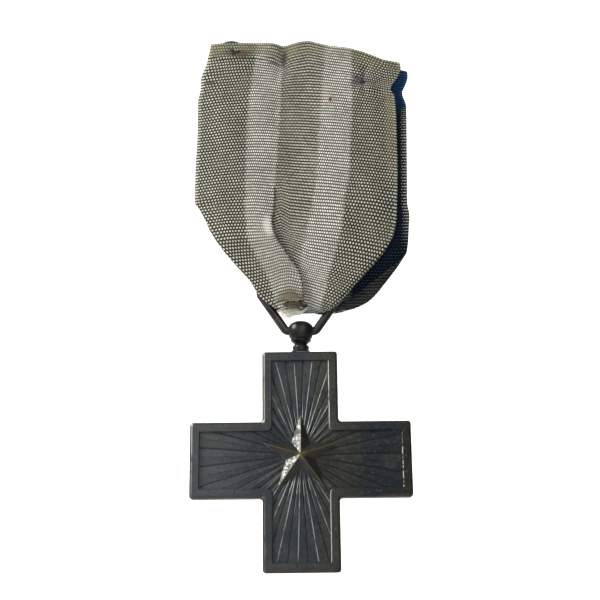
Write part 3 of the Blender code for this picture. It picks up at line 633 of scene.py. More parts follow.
def weave(nodes, ground, thread, pale_ground, pale_thread):
    """Ribbed cloth with a light spot where each warp thread crosses a rib, staggered from rib to rib."""
    uv = nodes.add("UVMap", uv_map="cloth").outputs[0]
    across, along, _ = nodes.split(uv)
    border = nodes.scaled(nodes.noise(uv, 0.8, 3.0), 0.7, nodes.minus(across, 0.35))
    pale = nodes.most(*(nodes.times(nodes.step(border, low - STRIPE_BLUR, low + STRIPE_BLUR),
                                    nodes.step(border, high + STRIPE_BLUR, high - STRIPE_BLUR))
                        for low, high in (STRIPES[:2], STRIPES[2:])))
    rib_number = nodes.math("FLOOR", nodes.over(along, RIB_PITCH))
    odd = nodes.times(nodes.math("MODULO", rib_number, 2.0), 0.5)
    drift = nodes.scaled(nodes.noise(uv, 0.25, 1.0), 0.7, across)
    rib = nodes.cosine(nodes.times(nodes.minus(along, RIB_PITCH / 2), 2 * pi / RIB_PITCH))
    crown = nodes.scaled(rib, 0.5, 0.5)
    turns = [nodes.plus(nodes.over(drift, pitch), odd) for pitch in (SPOT_PITCH, PALE_SPOT_PITCH)]
    wide, close = (nodes.scaled(nodes.cosine(nodes.times(turn, 2 * pi)), 0.5, 0.5) for turn in turns)
    centre = nodes.times(nodes.step(across, STRIPES[1], STRIPES[1] + 0.5),
                        nodes.step(across, STRIPES[2] + 0.2, STRIPES[2] - 0.3))
    selvedge = nodes.most(nodes.step(across, LEFT_SELVEDGE + 1.0, LEFT_SELVEDGE + 0.5),
                          nodes.step(across, RIGHT_SELVEDGE - 1.0, RIGHT_SELVEDGE - 0.5))
    joined = nodes.most(nodes.times(centre, 0.50), nodes.times(selvedge, 0.6))
    picks = nodes.add("TexWhiteNoise", noise_dimensions="2D")
    cell = nodes.add("CombineXYZ")
    nodes.plug(nodes.math("FLOOR", turns[0]), cell.inputs[0])
    nodes.plug(rib_number, cell.inputs[1])
    nodes.plug(cell.outputs[0], picks.inputs["Vector"])
    uneven = nodes.scaled(picks.outputs["Value"], 0.40, 0.68)
    vary = nodes.times(uneven, nodes.scaled(nodes.noise(uv, 0.9, 4.0), 0.5, 0.74))
    dark_spots = nodes.step(nodes.times(nodes.most(wide, joined), crown), 0.17, 0.66)
    pale_spots = nodes.step(nodes.times(nodes.most(close, 0.27), crown), 0.10, 0.66)
    # painted shade of the pleat: the centre stripe's threads are dimmed towards its left edge, beside the fold
    painted_pleat_shade = nodes.times(centre, nodes.step(across, STRIPES[2], STRIPES[1], 0.10, 0.42))
    dark_amount = nodes.times(dark_spots, vary, nodes.minus(1.0, painted_pleat_shade))
    pale_amount = nodes.times(pale_spots, vary)
    dark = nodes.mix(dark_amount, ground, thread)
    light = nodes.mix(pale_amount, pale_ground, pale_thread)
    height = nodes.mix(pale, nodes.grey(dark_amount), nodes.grey(pale_amount))
    return across, along, uv, nodes.mix(pale, dark, light), height, pale


def stain_and_painted_light_patch(nodes, across, along, centre, size, strength):
    dx = nodes.over(nodes.minus(across, centre[0]), size[0])
    dy = nodes.over(nodes.minus(along, centre[1]), size[1])
    return nodes.step(nodes.length(dx, dy), 1.0, 0.25, 0.0, strength)


def face_material():
    """The outer side: sun-bleached in front, bluer behind."""
    nodes = Nodes("ribbon_face")
    across, along, cloth, colour, height, pale = weave(
        nodes, (0.015, 0.0142, 0.0085), (0.50, 0.485, 0.40), (0.058, 0.056, 0.045), (0.74, 0.73, 0.665))
    # behind it is blue; where it is tucked in, painted shade makes it near black
    blue = nodes.mix(pale, (0.010, 0.034, 0.080), (0.22, 0.23, 0.24))
    spots = nodes.mix(pale, (0.09, 0.16, 0.25), (0.60, 0.60, 0.56))
    facing = nodes.split(nodes.add("NewGeometry").outputs["Normal"])["Y"]
    tucked = nodes.times(nodes.step(along, 80.0, 74.0), nodes.step(facing, 0.1, -0.3))
    blue = nodes.mix(tucked, blue, nodes.mix(pale, (0.002, 0.003, 0.006), (0.03, 0.034, 0.038)))
    spots = nodes.mix(tucked, spots, nodes.mix(pale, (0.060, 0.066, 0.068), (0.24, 0.24, 0.22)))
    behind = nodes.step(along, 51.0, 57.0)
    colour = nodes.mix(behind, colour, nodes.mix(height, blue, spots))
    hem = nodes.times(nodes.step(along, 3.2, 2.2), nodes.step(nodes.noise(cloth, 0.5, 3.0), 0.25, 0.6),
                      nodes.step(across, -4.0, 2.0, 0.55, 0.35))
    soil = nodes.step(nodes.noise(cloth, 0.22, 5.0), 0.42, 0.75, 0.0, 0.22)
    # stains and wear, with the painted shadows and the painted highlight among them
    marks_and_painted_light = [(stain_and_painted_light_patch(nodes, across, along, centre, size, strength), tint)
              for centre, size, tint, strength in STAINS_AND_PAINTED_LIGHT]
    colour = nodes.layers(colour, (hem, (0.115, 0.105, 0.050)), *marks_and_painted_light, (soil, (0.11, 0.10, 0.065)))
    return nodes.finish({"Base Color": colour, "Roughness": 0.85,
                         "Specular IOR Level": nodes.scaled(behind, -0.17, 0.25),
                         "Normal": nodes.bump(height, 0.7, 0.00005)})


def lining_material():
    """The inner side, kept from the light: still deep blue and white."""
    nodes = Nodes("ribbon_lining")
    across, along, _, colour, height, pale = weave(
        nodes, (0.0015, 0.004, 0.010), (0.030, 0.044, 0.062), (0.03, 0.04, 0.055), (0.25, 0.27, 0.28))
    fresh = nodes.times(nodes.step(along, 92.0, 98.0), nodes.step(pale, 0.6, 0.3))
    bleached = nodes.times(nodes.step(across, 17.15, 17.55), nodes.step(along, 97.0, 94.0),
                           nodes.step(along, 66.0, 76.0))
    colour = nodes.layers(
        colour, (fresh, nodes.mix(height, (0.002, 0.016, 0.052), (0.065, 0.16, 0.28))),
        (bleached, nodes.mix(height, (0.016, 0.018, 0.022), (0.62, 0.60, 0.52))),
        # a brown stain, brightened as painted light so that the lining seen through the worn hole is not black
        # with shade
        (stain_and_painted_light_patch(nodes, across, along, (-2.0, 57.0), (10.0, 6.0), 0.95), (0.30, 0.25, 0.20)))
    return nodes.finish({"Base Color": colour, "Roughness": 0.8, "Specular IOR Level": 0.08,
                         "Normal": nodes.bump(height, 0.8, 0.00006)})


def dress_ribbon():
    upper, loop, rear = build_ribbon(face_material(), lining_material())
    for piece in (upper, rear):
        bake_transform(piece)
    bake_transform(loop)
    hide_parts("ribbon_head")
    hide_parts("ribbon_drop")
    return upper, loop, rear


# ---- struck cross ------------------------------------------------------------------------------

CROSS_LOW, CROSS_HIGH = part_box("cross_body")
CROSS_SIZE = CROSS_HIGH.x - CROSS_LOW.x
CROSS_THICKNESS = CROSS_HIGH.y - CROSS_LOW.y
STAR_RISE = 0.8 * MM
STAR_AT = Vector(((CROSS_LOW.x + CROSS_HIGH.x) / 2, (CROSS_LOW.y + CROSS_HIGH.y) / 2,
                  (CROSS_LOW.z + CROSS_HIGH.z) / 2 + STAR_RISE))
ARM_WIDTH = 13.1 * MM
BORDER_WIDTH = 1.65 * MM
FIELD_DEPTH = 0.50 * MM
RAY_COUNT = 33
FIRST_RAY = radians(-3.4)
STAR_RADIUS = 6.72 * MM
STAR_WAIST = 0.39
STAR_EDGE_HEIGHT = 0.22 * MM
STAR_APEX_HEIGHT = 1.72 * MM
STAR_FOOT = 0.07 * MM                # how far the star's wall leans out
INNER_CORNER = 0.6 * MM              # radii of the cross's corners
OUTER_CORNER = 0.5 * MM
SHARP_ANGLE = radians(24.0)          # edges steeper than this are shaded sharp
BACK_SINK = 0.30 * MM                # depth of the plain back inside its border
CROSS_TURN = radians(-0.65)          # it hangs a little askew
CROSS_SCALE = (0.995, 0.88, 0.985)
# The border's section, millimetres: inset from the outline, then how far below the face
FRONT_RIM = (
    (1.60, 0.06), (1.53, 0.01), (1.40, 0.0), (1.1, -0.01), (0.8, -0.01), (0.5, 0.0), (0.36, 0.03),
    (0.2, 0.12), (0.06, 0.27), (0.0, 0.45))
BACK_RIM = (
    (0.0, 0.45), (0.06, 0.27), (0.2, 0.12), (0.36, 0.03), (0.6, 0.0), (1.0, 0.0), (1.53, 0.0), (1.65, 0.28))


def cross_outline(inset):
    """The cross shrunk by inset, with rounded corners, as an array of points about the star centre."""
    reach = CROSS_SIZE / 2 - inset
    half = ARM_WIDTH / 2 - inset
    corners = []
    for quarter in range(4):
        turn = Matrix.Rotation(-pi / 2 * quarter, 2)
        for x, z in ((-half, reach), (half, reach), (half, half)):
            corners.append(turn @ Vector((x, z)))
    points = []
    for index, corner in enumerate(corners):
        to_before = (corners[index - 1] - corner).normalized()
        to_after = (corners[(index + 1) % 12] - corner).normalized()
        radius = max(OUTER_CORNER - inset * 0.2, 0.15 * MM)
        if index % 3 == 2:
            radius = INNER_CORNER + inset * 0.2
        centre = corner + (to_before + to_after) * radius
        for step in range(7):
            angle = pi / 2 * step / 6
            point = centre - to_after * radius * cos(angle) - to_before * radius * sin(angle)
            points.append((point.x, point.y - STAR_RISE))
    return np.array(points)


def star_outline(grow):
    bearings = np.radians(36.0 * np.arange(10))
    radius = (STAR_RADIUS + grow) * np.where(np.arange(10) % 2 == 0, 1.0, STAR_WAIST)
    return np.stack([radius * np.sin(bearings), radius * np.cos(bearings)], axis=-1)


def reaches(outline, bearings):
    """Distance from the star centre to a closed outline in each direction."""
    direction = np.stack([np.sin(bearings), np.cos(bearings)], axis=-1)[:, None, :]
    start = outline[None, :, :]
    side = np.roll(outline, -1, axis=0)[None, :, :] - start
    spread = direction[..., 0] * side[..., 1] - direction[..., 1] * side[..., 0]
    spread = np.where(np.abs(spread) < 1e-15, 1e-15, spread)
    distance = (start[..., 0] * side[..., 1] - start[..., 1] * side[..., 0]) / spread
    share = (start[..., 0] * direction[..., 1] - start[..., 1] * direction[..., 0]) / spread
    inside = (share > -1e-5) & (share < 1.00001) & (distance > 0)
    return np.where(inside, distance, 0.0).max(axis=1)


def cross_bearings():
    corners = [cross_outline(0.0), cross_outline(BORDER_WIDTH), star_outline(0.0)]
    bearings = [np.arctan2(part[:, 0], part[:, 1]) for part in corners]
    pitch = 2 * pi / RAY_COUNT
    ridges = FIRST_RAY + pitch / 2 * np.arange(2 * RAY_COUNT)
    for offset in (-1.2, -0.7, -0.35, 0.0, 0.35, 0.7, 1.2):
        bearings.append(ridges + radians(offset))
    bearings.append(np.radians(np.arange(0.0, 360.0, 0.5)))
    merged = np.sort(np.concatenate(bearings) % (2 * pi))
    keep = np.concatenate([[True], np.diff(merged) > radians(0.06)])
    return merged[keep]


def ray_relief(bearings, reach):
    """The sunburst above its floor: shallow facets, a bead on each ridge and a cut in each groove."""
    pitch = 2 * pi / RAY_COUNT
    phase = ((bearings - FIRST_RAY) / pitch) % 1.0
    to_ridge = np.minimum(phase, 1.0 - phase)
    ridge_width = to_ridge * pitch * reach
    groove_width = (0.5 - to_ridge) * pitch * reach
    facet = 0.13 * MM * (1.0 - 2.0 * to_ridge)
    bead = 0.045 * MM * np.exp(-(ridge_width / (0.09 * MM)) ** 2)
    cut = 0.06 * MM * np.exp(-(groove_width / (0.10 * MM)) ** 2)
    fade = smooth_step(reach, 2.6 * MM, 4.5 * MM)
    return (facet + bead - cut) * fade


def build_cross_look(material):
    bearings = cross_bearings()
    front = -CROSS_THICKNESS / 2
    field = front + FIELD_DEPTH
    back = CROSS_THICKNESS / 2
    star_top = reaches(star_outline(0.0), bearings)
    star_foot = reaches(star_outline(STAR_FOOT), bearings)
    foot = reaches(cross_outline(BORDER_WIDTH), bearings)
    rings = []
    for share in np.linspace(0.04, 1.0, 14):
        level = -STAR_APEX_HEIGHT + (STAR_APEX_HEIGHT - STAR_EDGE_HEIGHT) * share
        rings.append((star_top * share, np.full_like(bearings, field + level)))
    for share in np.linspace(0.0, 1.0, 26):
        reach = star_foot + (foot - star_foot) * share
        rings.append((reach, field - ray_relief(bearings, reach)))
    sections = [(inset, front + sunk * MM) for inset, sunk in FRONT_RIM] + [(0.0, 0.0)]
    sections += [(inset, back - sunk * MM) for inset, sunk in BACK_RIM]
    for inset, level in sections:
        rings.append((reaches(cross_outline(inset * MM), bearings), np.full_like(bearings, level)))
    for share in (0.85, 0.7, 0.55, 0.4, 0.2, 0.05):
        rings.append((foot * share, np.full_like(bearings, back - BACK_SINK)))
    points = np.array([np.stack([reach * np.sin(bearings), level, reach * np.cos(bearings)], axis=-1)
                       for reach, level in rings])
    count = len(bearings)
    apex = np.array([[0.0, field - STAR_APEX_HEIGHT + 0.04 * MM, 0.0], [0.0, back - BACK_SINK, 0.0]])
    vertices = np.concatenate([points.reshape(-1, 3), apex])
    vertices = vertices + hammered(vertices)
    index = np.arange(len(rings) * count).reshape(len(rings), count)
    after = np.roll(index, -1, axis=1)
    faces = np.stack([index[:-1], index[1:], after[1:], after[:-1]], axis=-1).reshape(-1, 4).tolist()
    front_fan = [[len(vertices) - 2, a, b] for a, b in zip(index[0], after[0])]
    back_fan = [[len(vertices) - 1, b, a] for a, b in zip(index[-1], after[-1])]
    mesh = bpy.data.meshes.new("cross_struck")
    mesh.from_pydata(vertices.tolist(), [], faces + [list(map(int, face)) for face in front_fan + back_fan])
    mesh.shade_smooth()
    mesh.set_sharp_from_angle(angle=SHARP_ANGLE)
    obj = add_object("cross_struck", mesh)
    obj.location = STAR_AT
    obj.rotation_euler = (0.0, CROSS_TURN, 0.0)
    obj.scale = CROSS_SCALE
    mesh.materials.append(material)
    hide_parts("cross_body")
    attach(obj, "cross")


def hammered(points):
    """Slight unevenness of an old striking."""
    x, z = points[:, 0] / MM, points[:, 2] / MM
    wave = 0.012 * np.sin(1.9 * x + 0.7 * z) + 0.010 * np.sin(1.3 * z - 2.3 * x + 1.0)
    wave = wave + 0.006 * np.sin(7.1 * x + 3.0) * np.sin(6.3 * z)
    shift = np.zeros_like(points)
    shift[:, 1] = np.abs(wave) * MM * np.where(points[:, 1] < 0, 1.0, -1.0)
    return shift


def bronze_material():
    """Dark patina, brown where it thins, bright metal on the worn lines of the sunburst and star. Painted
    highlights on left-facing edges and on the ridges of the upright arms, painted shade to the right, on the
    rim's outer sides and on the star's faces away from the light.
    """
    nodes = Nodes("bronze_struck")
    place = nodes.place()
    x, y, z = nodes.split(place)
    reach = nodes.length(x, z)
    bearing = nodes.math("ARCTAN2", x, z)

    def between(value, low, high, *to):
        """A smooth step with its ends in millimetres."""
        return nodes.step(value, low * MM, high * MM, *to)

    def off_line(first, pitch):
        """The share of a pitch by which a place is off the nearest of the lines out of the centre."""
        turns = nodes.over(nodes.minus(bearing, first), pitch)
        return nodes.math("PINGPONG", nodes.plus(turns, 100.0), 0.5)

    # where things are on the cross
    ray_pitch = 2 * pi / RAY_COUNT
    to_ridge = off_line(FIRST_RAY, ray_pitch)
    ridge = nodes.times(to_ridge, ray_pitch, reach)
    groove = nodes.times(nodes.minus(0.5, to_ridge), ray_pitch, reach)
    across_x, across_z = nodes.size(x), nodes.size(nodes.plus(z, STAR_RISE))
    inside_arm = nodes.math("MINIMUM", across_x, across_z)
    far = nodes.most(across_x, across_z)
    half, end = ARM_WIDTH / 2, CROSS_SIZE / 2
    half_field, end_field = half - BORDER_WIDTH, end - BORDER_WIDTH
    in_front = between(y, 0.0, -0.2)
    field_level = -CROSS_THICKNESS / 2 + FIELD_DEPTH
    on_star = nodes.times(nodes.step(y, field_level - 0.16 * MM, field_level - 0.24 * MM),
                          between(reach, 6.95, 6.75))
    sunburst = nodes.times(nodes.step(inside_arm, half_field - 0.02 * MM, half_field - 0.2 * MM),
                           nodes.step(far, end_field - 0.05 * MM, end_field - 0.35 * MM),
                           in_front, nodes.minus(1.0, on_star))
    rim = nodes.most(nodes.step(far, end - 0.55 * MM, end - 0.40 * MM),
                     nodes.step(inside_arm, half - 0.55 * MM, half - 0.40 * MM))
    turned = nodes.add("VectorTransform", vector_type="NORMAL", convert_from="WORLD", convert_to="OBJECT")
    nodes.plug(nodes.add("NewGeometry").outputs["Normal"], turned.inputs[0])
    tilt = nodes.split(turned.outputs[0])["X"]
    # painted shade: the rim's steep outer sides facing left are painted dark
    painted_shade_outer_side = nodes.times(rim, nodes.step(tilt, -0.50, -0.70))

    # patina: browner to the right; paler at the left as painted light, darker to the right and at the right
    # arm's end as painted shade
    fine = nodes.noise(place, 1800.0, 5.0, 0.65)
    blotch = nodes.noise(place, 420.0, 5.0, 0.6)
    slate = nodes.mix(nodes.step(nodes.noise(place, 170.0, 4.0), 0.38, 0.62),
                      (0.014, 0.0185, 0.023), (0.026, 0.029, 0.0285))
    olive = nodes.times(between(x, 1.0, 4.0), between(x, 12.0, 7.0, 0.0, 0.55))
    # painted shade: the right arm's end painted dark brown
    painted_shade_right_end = nodes.step(x, end - 2.0 * MM, end - 1.5 * MM, 0.0, 0.85)

    # grooves hold dirt; ridges are rubbed bright, with a painted glint that shows them only in the upright
    # arms, where the light from the left catches them
    dirt = nodes.times(between(groove, 0.17, 0.05, 0.0, 0.8), sunburst, between(reach, 3.5, 6.0))
    painted_glint_upright = nodes.step(nodes.size(nodes.cosine(bearing)), 0.60, 0.93)
    patchy = nodes.step(nodes.noise(place, 520.0, 3.0), 0.36, 0.55, 0.25, 1.0)
    ridge_wear_and_glint = nodes.times(between(ridge, 0.115, 0.03), painted_glint_upright, sunburst, patchy,
                      between(reach, 3.8, 8.5, 0.25, 1.0))

    # painted highlight on left-facing edges and walls, where the light from the left catches them; broken by
    # wear, and on the right arm's wall only in dashes
    on_bevel = nodes.times(nodes.step(tilt, -0.12, -0.24), nodes.step(tilt, -0.62, -0.46), rim,
                           between(z, -9.0, 2.0, 0.10, 0.38))
    on_wall = nodes.times(nodes.step(tilt, -0.45, -0.65), nodes.minus(1.0, rim))
    waves = nodes.plus(*(nodes.math("SINE", nodes.times(z, 2 * pi / (length * MM)))
                         for length in (2.1, 0.83)))
    dashes = nodes.most(nodes.step(waves, -0.35, 0.15, 0.12, 1.0), between(x, 13.0, 11.0))
    broken = nodes.step(nodes.noise(place, 330.0, 2.0), 0.34, 0.46, 0.15, 1.0)
    painted_highlight_leftward = nodes.times(nodes.most(on_bevel, nodes.times(on_wall, dashes)), broken, in_front)
    rim_brown = nodes.times(rim, nodes.step(nodes.noise(place, 260.0, 3.0), 0.35, 0.55, 0.25, 0.85))

    # the star: brass on its ridges and point; pitted grey on its left faces and brown elsewhere, painted light
    # and painted shade of the faces towards and away from the light
    star_pitch = 2 * pi / 5
    star_ridge = nodes.times(off_line(0.0, star_pitch), star_pitch, reach)
    brass = nodes.most(nodes.times(between(star_ridge, 0.13, 0.04), on_star, 0.6),
                       nodes.times(between(reach, 1.3, 0.3), on_star, 0.75))
    star_lit_faces = nodes.times(nodes.step(tilt, -0.36, -0.46), on_star)
    star_lit_grey_pits = nodes.times(star_lit_faces, nodes.step(nodes.noise(place, 2200.0, 4.0, 0.7), 0.43, 0.54))
    star_shaded_brown = nodes.times(on_star, nodes.minus(1.0, star_lit_faces))

    colour = nodes.layers(
        slate,
        # painted light and painted shade: paler at the left, darker to the right
        (between(x, -6.0, -16.0, 0.0, 0.75), (0.040, 0.044, 0.045)),
        (between(x, 4.0, 12.0, 0.0, 0.70), (0.006, 0.008, 0.010)),
        (olive, (0.026, 0.024, 0.015)),
        (painted_shade_right_end, (0.012, 0.010, 0.007)),
        (nodes.times(nodes.step(blotch, 0.52, 0.70), 0.45), (0.036, 0.038, 0.028)),
        (nodes.step(fine, 0.54, 0.74, 0.0, 0.50), (0.075, 0.080, 0.080)),
        (nodes.step(fine, 0.46, 0.30, 0.0, 0.65), (0.004, 0.005, 0.007)),
        (dirt, (0.008, 0.008, 0.009)),
        (nodes.times(star_shaded_brown, 0.6), (0.022, 0.019, 0.014)),
        (rim_brown, (0.040, 0.030, 0.021)),
        (nodes.times(painted_shade_outer_side, 0.9), (0.006, 0.0045, 0.003)),
        (nodes.times(ridge_wear_and_glint, 0.75), (0.25, 0.285, 0.29)),
        (nodes.times(painted_highlight_leftward, 0.85), (0.50, 0.50, 0.45)),
        (nodes.times(star_lit_grey_pits, 0.85), (0.018, 0.023, 0.0225)),
        (brass, (0.105, 0.090, 0.045)))
    gloss = nodes.times(between(x, -12.0, 14.0, 0.46, 0.20), nodes.scaled(painted_shade_outer_side, -0.9, 1.0),
                        nodes.scaled(star_lit_faces, -0.75, 1.0))
    grain = nodes.plus(nodes.times(fine, 0.6), nodes.times(blotch, 0.4))
    return nodes.finish({"Base Color": colour, "Metallic": nodes.scaled(painted_shade_outer_side, -0.50, 0.55),
                         "Specular IOR Level": gloss,
                         "Roughness": nodes.scaled(painted_shade_outer_side, 0.3, nodes.scaled(blotch, 0.30, 0.36)),
                         "Normal": nodes.bump(grain, 0.35, 0.00006)})


def dark_metal(name, dark, light, brown, metallic=0.6, roughness=0.38):
    """Handled metal: mottled patina with brown breaking through and a fine grain."""
    nodes = Nodes(name)
    place = nodes.place()
    fine = nodes.noise(place, 1500.0, 5.0, 0.65)
    mottled = nodes.mix(nodes.step(nodes.noise(place, 375.0, 4.0), 0.35, 0.65), dark, light)
    colour = nodes.mix(nodes.step(fine, 0.56, 0.78, 0.0, 0.6), mottled, brown)
    return nodes.finish({"Base Color": colour, "Metallic": metallic,
                         "Roughness": nodes.scaled(fine, 0.30, roughness - 0.15),
                         "Normal": nodes.bump(fine, 0.35, 0.00005)})


# ---- ball, neck and ring -----------------------------------------------------------------------

LATHE_WAVES, WIRE_WAVES = 1700.0, 1500.0   # how close the unevenness of worn metal is, per metre


def wavy(point, scale, height):
    """A small smooth displacement along each axis, the same on every run."""
    a = sin(point.x * scale + 1.3 * point.z * scale + 0.5)
    b = sin(point.y * scale * 1.7 + point.x * scale * 0.6 + 2.1)
    c = sin(point.z * scale * 2.3 - point.y * scale + 4.0)
    return Vector((a + b, b + c, c + a)) * height / 2


def bridge(bm, rings, closed):
    """Faces between rings of vertices; a ring of one vertex is a point on the axis."""
    for first, second in zip(rings, rings[1:] + (rings[:1] if closed else [])):
        sides = max(len(first), len(second))
        for step in range(sides):
            after = (step + 1) % sides
            corners = [first[step % len(first)], second[step % len(second)],
                       second[after % len(second)], first[after % len(first)]]
            bm.faces.new(list(dict.fromkeys(corners)))


def lathe(name, profile, segments, axis, place, material, lump):
    """profile is (distance from the axis, distance along it), closed on itself or on the axis."""
    bm = bmesh.new()
    rings = []
    for radius, along in profile:
        if radius == 0:
            rings.append([bm.verts.new((along, 0, 0) if axis == "X" else (0, 0, along))])
            continue
        ring = []
        for angle in (2 * pi * step / segments for step in range(segments)):
            around = (cos(angle) * radius, sin(angle) * radius)
            point = Vector((along, *around)) if axis == "X" else Vector((*around, along))
            ring.append(bm.verts.new(point - wavy(point, LATHE_WAVES, lump).length * point.normalized() * 0.5))
        rings.append(ring)
    bridge(bm, rings, closed=profile[0][0] > 0)
    obj = object_from(bm, name, material)
    obj.location = place
    return obj


BALL_BORE = 0.84 * MM
BALL_SWELL = 0.07 * MM               # of the radius over the CAD ball's
BALL_STRETCH = 1.14                  # along the bore
BALL_DROP = 0.35 * MM                # the lower half hangs down to the neck
BALL_FLAT = 0.25 * MM                # the top is worn down
# Neck: radius in millimetres, share of the CAD neck's height
NECK_SHAPE = [
    (0.0, 0.0), (1.74, 0.0), (1.70, 0.04), (1.52, 0.09), (1.42, 0.16), (1.43, 0.24), (1.47, 0.33),
    (1.48, 0.42), (1.43, 0.51), (1.31, 0.59), (1.14, 0.65), (1.07, 0.69), (1.12, 0.74), (1.32, 0.82),
    (1.52, 0.91), (1.72, 1.0), (1.86, 1.10), (1.70, 1.20), (0.0, 1.20)]
RING_WIRE = 0.775 * 0.985 * MM       # radius
RING_CORNER = 1.0 * MM
RING_HALF_BAR = 8.08 * MM
RING_HALF_BASE = 2.62 * MM


def build_ball_look(material):
    low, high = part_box("suspension_ball")
    radius = (high.z - low.z) / 2 + BALL_SWELL
    start = acos(BALL_BORE / radius)
    profile = []
    for angle in (-start + 2 * start * step / 40 for step in range(41)):
        worn = radius * (1.0 - 0.012 * cos(4 * angle) ** 2)
        profile.append((worn * cos(angle), worn * sin(angle)))
    for side in (1, -1):
        profile.append((BALL_BORE - 0.02 * MM, side * radius * sin(start) * 0.9))
    ball = lathe("ball_turned", profile, 72, "X", (low + high) / 2, material, 0.035 * MM)
    for vertex in ball.data.vertices:
        vertex.co.x *= BALL_STRETCH
        vertex.co.z -= BALL_DROP * float(smooth_step(-vertex.co.z, 0.0, 1.2 * MM))
        vertex.co.z -= BALL_FLAT * float(smooth_step(vertex.co.z, 0.8 * MM, 2.0 * MM))
    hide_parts("suspension_ball")
    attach(ball, "cross")


def build_neck_look(material):
    low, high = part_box("neck_collar")
    height = high.z - low.z
    profile = []
    for (r0, z0), (r1, z1) in zip(NECK_SHAPE, NECK_SHAPE[1:]):
        for share in (part / 3 for part in range(3)):
            profile.append(((r0 + (r1 - r0) * share) * MM, (z0 + (z1 - z0) * share) * height))
    profile.append((0.0, NECK_SHAPE[-1][1] * height))
    centre = Vector(((low.x + high.x) / 2, (low.y + high.y) / 2, low.z))
    neck = lathe("neck_turned", profile, 64, "Z", centre, material, 0.02 * MM)
    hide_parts("neck_collar")
    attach(neck, "cross")


def rounded_route(corners, radius, steps, spacing):
    """A closed route with rounded corners, as points no further apart than about the spacing."""
    route = []
    for before, corner, after in zip(corners[-1:] + corners[:-1], corners, corners[1:] + corners[:1]):
        to_before = (before - corner).normalized()
        to_after = (after - corner).normalized()
        half = to_before.angle(to_after) / 2
        centre = corner + (to_before + to_after).normalized() * radius / sin(half)
        start = corner + to_before * radius / tan(half) - centre
        end = corner + to_after * radius / tan(half) - centre
        route += [centre + start.slerp(end, step / steps).normalized() * radius for step in range(steps + 1)]
    fine = []
    for start, end in zip(route, route[1:] + route[:1]):
        count = max(1, round((end - start).length / spacing))
        fine += [start.lerp(end, step / count) for step in range(count)]
    return fine


def sweep(name, route, radius, sides, material, closed=True, lump=0.0):
    """A round bar along a route of points roughly in one plane. An open one thins towards its end."""
    bm = bmesh.new()
    count = len(route)
    rings = []
    guide = Vector((0.0, 1.0, 0.0))
    for index, point in enumerate(route):
        before = route[index - 1] if closed or index else point
        after = route[(index + 1) % count] if closed or index < count - 1 else point
        forward = (after - before).normalized()
        side = forward.cross(guide)
        if side.length < 0.2:
            side = forward.cross(Vector((0.7, 0.1, 0.7)))
        side.normalize()
        up = side.cross(forward).normalized()
        width = radius if closed else radius * (1.0 - THINNING * index / (count - 1))
        ring = []
        for angle in (2 * pi * step / sides for step in range(sides)):
            place = point + side * cos(angle) * width + up * sin(angle) * width
            ring.append(bm.verts.new(place + wavy(place, WIRE_WAVES, lump)))
        rings.append(ring)
    bridge(bm, rings, closed)
    if not closed:
        bm.faces.new(rings[0])
        bm.faces.new(rings[-1])
    return object_from(bm, name, material)


def build_ring_look(material):
    corners = [Vector((x, BAR_AT.y, z))
               for x, z in ((-RING_HALF_BAR, BAR_AT.z), (RING_HALF_BAR, BAR_AT.z),
                            (RING_HALF_BASE, BORE_AT.z), (-RING_HALF_BASE, BORE_AT.z))]
    route = rounded_route(corners, RING_CORNER, 12, 0.4 * MM)
    ring = sweep("ring_wire_bent", route, RING_WIRE, 28, material, lump=0.012 * MM)
    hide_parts("suspension_ring")
    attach(ring, "ring")


# ---- thread ------------------------------------------------------------------------------------

def thread_material(name, colour, light):
    """Spun thread, lighter along its twist."""
    nodes = Nodes(name)
    twist = nodes.add("TexWave", bands_direction="DIAGONAL")
    for value, socket in ((nodes.place(), "Vector"), (2600.0, "Scale"), (3.0, "Distortion")):
        nodes.plug(value, twist.inputs[socket])
    return nodes.finish({"Base Color": nodes.mix(twist.outputs["Fac"], colour, light), "Roughness": 0.9,
                         "Normal": nodes.bump(twist.outputs["Fac"], 0.5, 0.00003)})


def join_all(name, pieces):
    bpy.ops.object.select_all(action="DESELECT")
    for piece in pieces:
        piece.select_set(True)
    bpy.context.view_layer.objects.active = pieces[0]
    bpy.ops.object.join()
    pieces[0].name = name
    pieces[0].select_set(False)
    return pieces[0]


STITCH_DEPTH = {"stitch_left": -1.62, "stitch_right": -1.02}   # front of the thread, millimetres
PIN_SLOPE = radians(13.3)
HALF_HOLES = 0.95 * MM               # half the distance between the pin plate's thread holes
HALF_STITCH = 0.50 * MM
STITCH_TURNS = ((-0.10, -0.25), (0.02, 0.0), (0.12, 0.28))     # aside in millimetres, leaning in radians


def build_stitch_look(node, slant, material):
    """Three turns of dark thread: short in front, spanning the pin plate's holes behind."""
    low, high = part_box(node)
    middle = (low + high) / 2
    front = Vector((middle.x, PLANE_Y + STITCH_DEPTH[node] * MM, middle.z))
    back = Vector((middle.x, high.y - 0.22 * MM, middle.z))
    hole = Vector((cos(PIN_SLOPE), 0.0, -sin(PIN_SLOPE))) * HALF_HOLES
    turns = []
    for shift, lean in STITCH_TURNS:
        reach = Vector((cos(slant + lean), 0.0, sin(slant + lean))) * HALF_STITCH
        aside = Vector((sin(slant), 0.0, -cos(slant))) * shift * MM
        corners = [front - reach + aside, front + reach + aside,
                   back + hole + aside * 0.5, back - hole + aside * 0.5]
        route = rounded_route(corners, 0.17 * MM, 5, 0.15 * MM)
        turns.append(sweep("turn", route, 0.125 * MM, 10, material, lump=0.01 * MM))
    stitch = join_all(node + "_thread", turns)
    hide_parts(node)
    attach(stitch, "root")


